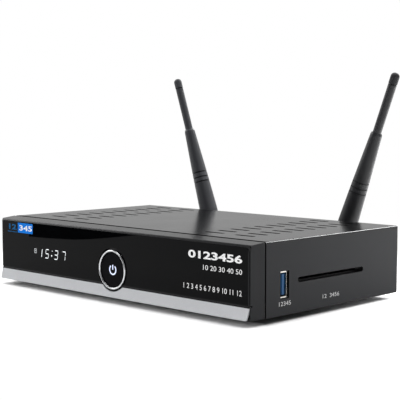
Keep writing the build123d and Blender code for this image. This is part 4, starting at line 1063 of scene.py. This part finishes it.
class RECEIVER_OT_stage(PieceOperator, bpy.types.Operator):
    """Make the pale floor, the soft lights, the white surround and the camera"""
    bl_idname = "receiver.stage"
    bl_label = "Studio"

    def flat(self, name, corners, finish):
        """One flat face of the studio, without gloss."""
        finish.set("Specular IOR Level", 0.0)
        piece = surface(name, corners, [list(range(len(corners)))], finish)
        return piece

    def floor(self):
        """A flat square at the foot's height.

        The camera sees it plain white away from the case, and near the case as a surface that
        is white in full light and keeps the shadow, with a painted shadow below the case, darkest at
        the front.
        """
        finish = Finish("floor_white", (0.93, 0.93, 0.93), 1.0, emission_strength=1.0)
        seen = finish.node("ShaderNodeLightPath", output="Is Camera Ray")
        x, y, _ = finish.axes()
        centre, reach = (COVER_LOW + COVER_HIGH) / 2, (COVER_HIGH - COVER_LOW) / 2
        out_x, out_y = abs(x - centre[0]) - reach[0], abs(y - centre[1]) - reach[1]
        past_x, past_y = out_x.most(0.0), out_y.most(0.0)
        far = (past_x * past_x + past_y * past_y).root().step(0.05, 0.2) * seen
        # painted shadow: below the case the camera sees the floor darker, most towards the front
        under = 1 - out_x.most(out_y).step(-0.006, 0.004)
        under = under * (1 - y.step(centre[1] - 0.03, COVER_HIGH[1] - 0.01) * 0.9)
        black, white, bounced = (0.0, 0.0, 0.0), (1.0, 1.0, 1.0), (0.9, 0.9, 0.9)
        lit, painted_shadow = (1.5, 1.5, 1.5), (0.28, 0.28, 0.28)
        near = finish.blend(seen, bounced, finish.blend(under, lit, painted_shadow))
        finish.set("Base Color", finish.blend(far, near, black))
        finish.set("Emission Color", finish.blend(far, black, white))
        self.flat("studio_floor", square(self.sizes.floor_size), finish)

    def reflected(self, name, corners, colour=(0.0, 0.0, 0.0), strength=0.0):
        """A flat card that only reflections show, black apart from its own light."""
        finish = Finish(name, (0.0, 0.0, 0.0), 1.0, emission_strength=strength)
        finish.set("Emission Color", (*colour, 1.0))
        piece = self.flat(name, corners, finish)
        piece.visible_camera = piece.visible_diffuse = piece.visible_shadow = False
        return piece

    def card(self, name, place, size, colour, strength):
        """A square card at place, turned to the object; only reflections show it."""
        piece = self.reflected(name, square(size), colour, strength)
        piece.location = place
        piece.rotation_euler = (-Vector(place)).to_track_quat("Z", "Y").to_euler()

    def surround(self, mirrored, level):
        """A white world, of strength 1 where it is seen, mirrored in reflections, level as light."""
        world = bpy.data.worlds.new("studio_surround")
        white = Nodes(world, "Background")
        path = white.node("ShaderNodeLightPath").source.node
        strength = level
        for ray, value in (("Is Glossy Ray", mirrored), ("Is Transmission Ray", 1.0),
                           ("Is Camera Ray", 1.0)):
            strength = white.node("ShaderNodeMix", inputs={
                "Factor": Value(white, path.outputs[ray]), "A": strength, "B": value})
        white.set("Color", (1.0, 1.0, 1.0, 1.0))
        white.set("Strength", strength)
        bpy.context.scene.world = world

    def lamp(self, name, place, aim, size, power, mirrored=True):
        """A square soft light at place, turned to aim; power in watts."""
        light = bpy.data.lights.new(name, "AREA")
        light.shape = "SQUARE"
        light.size = size
        light.energy = power
        holder = in_scene(name, light)
        holder.location = place
        holder.rotation_euler = (Vector(aim) - Vector(place)).to_track_quat("-Z", "Y").to_euler()
        holder.visible_glossy = mirrored

    def camera(self):
        """The camera at the front right, a little above the case."""
        lens = bpy.data.cameras.new("front_right_camera")
        lens.lens = CAMERA_LENS
        lens.sensor_width = 36.0
        holder = in_scene("front_right_camera", lens)
        holder.location = case_point(*CAMERA_PLACE)
        holder.rotation_euler = Euler((math.radians(90 - CAMERA_DOWN), 0.0,
                                       math.radians(CAMERA_ROUND)))
        bpy.context.scene.camera = holder

    def execute(self, context):
        self.floor()
        self.reflected("left_flag", [case_point(x, y, FLAG_HEIGHT - CASE_BOTTOM / MM)
                                     for x, y in LEFT_FLAG])
        # the lower left and the right side of the button's ring reflect the first card, the bend
        # at the cover's right and the left antenna's edge the second
        self.card("ring_card", (0.22, -1.56, 1.23), 3.0, (0.01, 0.01, 0.01), strength=1.0)
        self.card("edge_card", (0.1, 1.45, 1.2), 0.5, (1.0, 1.0, 1.0), strength=30.0)
        self.surround(mirrored=0.6, level=0.35)
        fascia = (0, 0, 0.02)
        self.lamp("overhead_light", (-0.15, 0.15, 1.6), (0, 0, 0), size=1.1, power=14.0)
        self.lamp("floor_light", (0.25, 0.42, 0.25), (0.25, 0.4, 0.0), size=0.2, power=3.3,
                  mirrored=False)
        self.lamp("left_light", (-1.3, -0.3, 0.8), fascia, size=0.8, power=6.0)
        self.lamp("front_light", (-0.5, -1.6, 0.5), fascia, size=0.8, power=8.0, mirrored=False)
        self.camera()
        view = bpy.context.scene.view_settings
        view.view_transform = "Standard"
        return {"FINISHED"}


OPERATORS = (RECEIVER_OT_stage, RECEIVER_OT_case, RECEIVER_OT_fascia, RECEIVER_OT_clock,
             RECEIVER_OT_markings, RECEIVER_OT_sockets, RECEIVER_OT_inside, RECEIVER_OT_antennas)


class RECEIVER_PT_panel(bpy.types.Panel):
    """The receiver's operators, sizes and colours"""
    bl_idname = "RECEIVER_PT_panel"
    bl_label = "Receiver"
    bl_space_type = "VIEW_3D"
    bl_region_type = "UI"
    bl_category = "Receiver"

    def draw(self, context):
        for operator in OPERATORS:
            self.layout.operator(operator.bl_idname)
        for group in (context.scene.receiver_sizes, context.scene.receiver_colours):
            column = self.layout.column(align=True)
            for name in group.__annotations__:
                column.prop(group, name)


CLASSES = (ReceiverSizes, ReceiverColours, *OPERATORS, RECEIVER_PT_panel)


def register():
    for item in CLASSES:
        bpy.utils.register_class(item)
    bpy.types.Scene.receiver_sizes = bpy.props.PointerProperty(type=ReceiverSizes)
    bpy.types.Scene.receiver_colours = bpy.props.PointerProperty(type=ReceiverColours)


def unregister():
    del bpy.types.Scene.receiver_colours
    del bpy.types.Scene.receiver_sizes
    for item in reversed(CLASSES):
        bpy.utils.unregister_class(item)


def main():
    register()
    for operator in OPERATORS:
        group, name = operator.bl_idname.split(".")
        getattr(getattr(bpy.ops, group), name)()


if __name__ == "__main__":
    main()
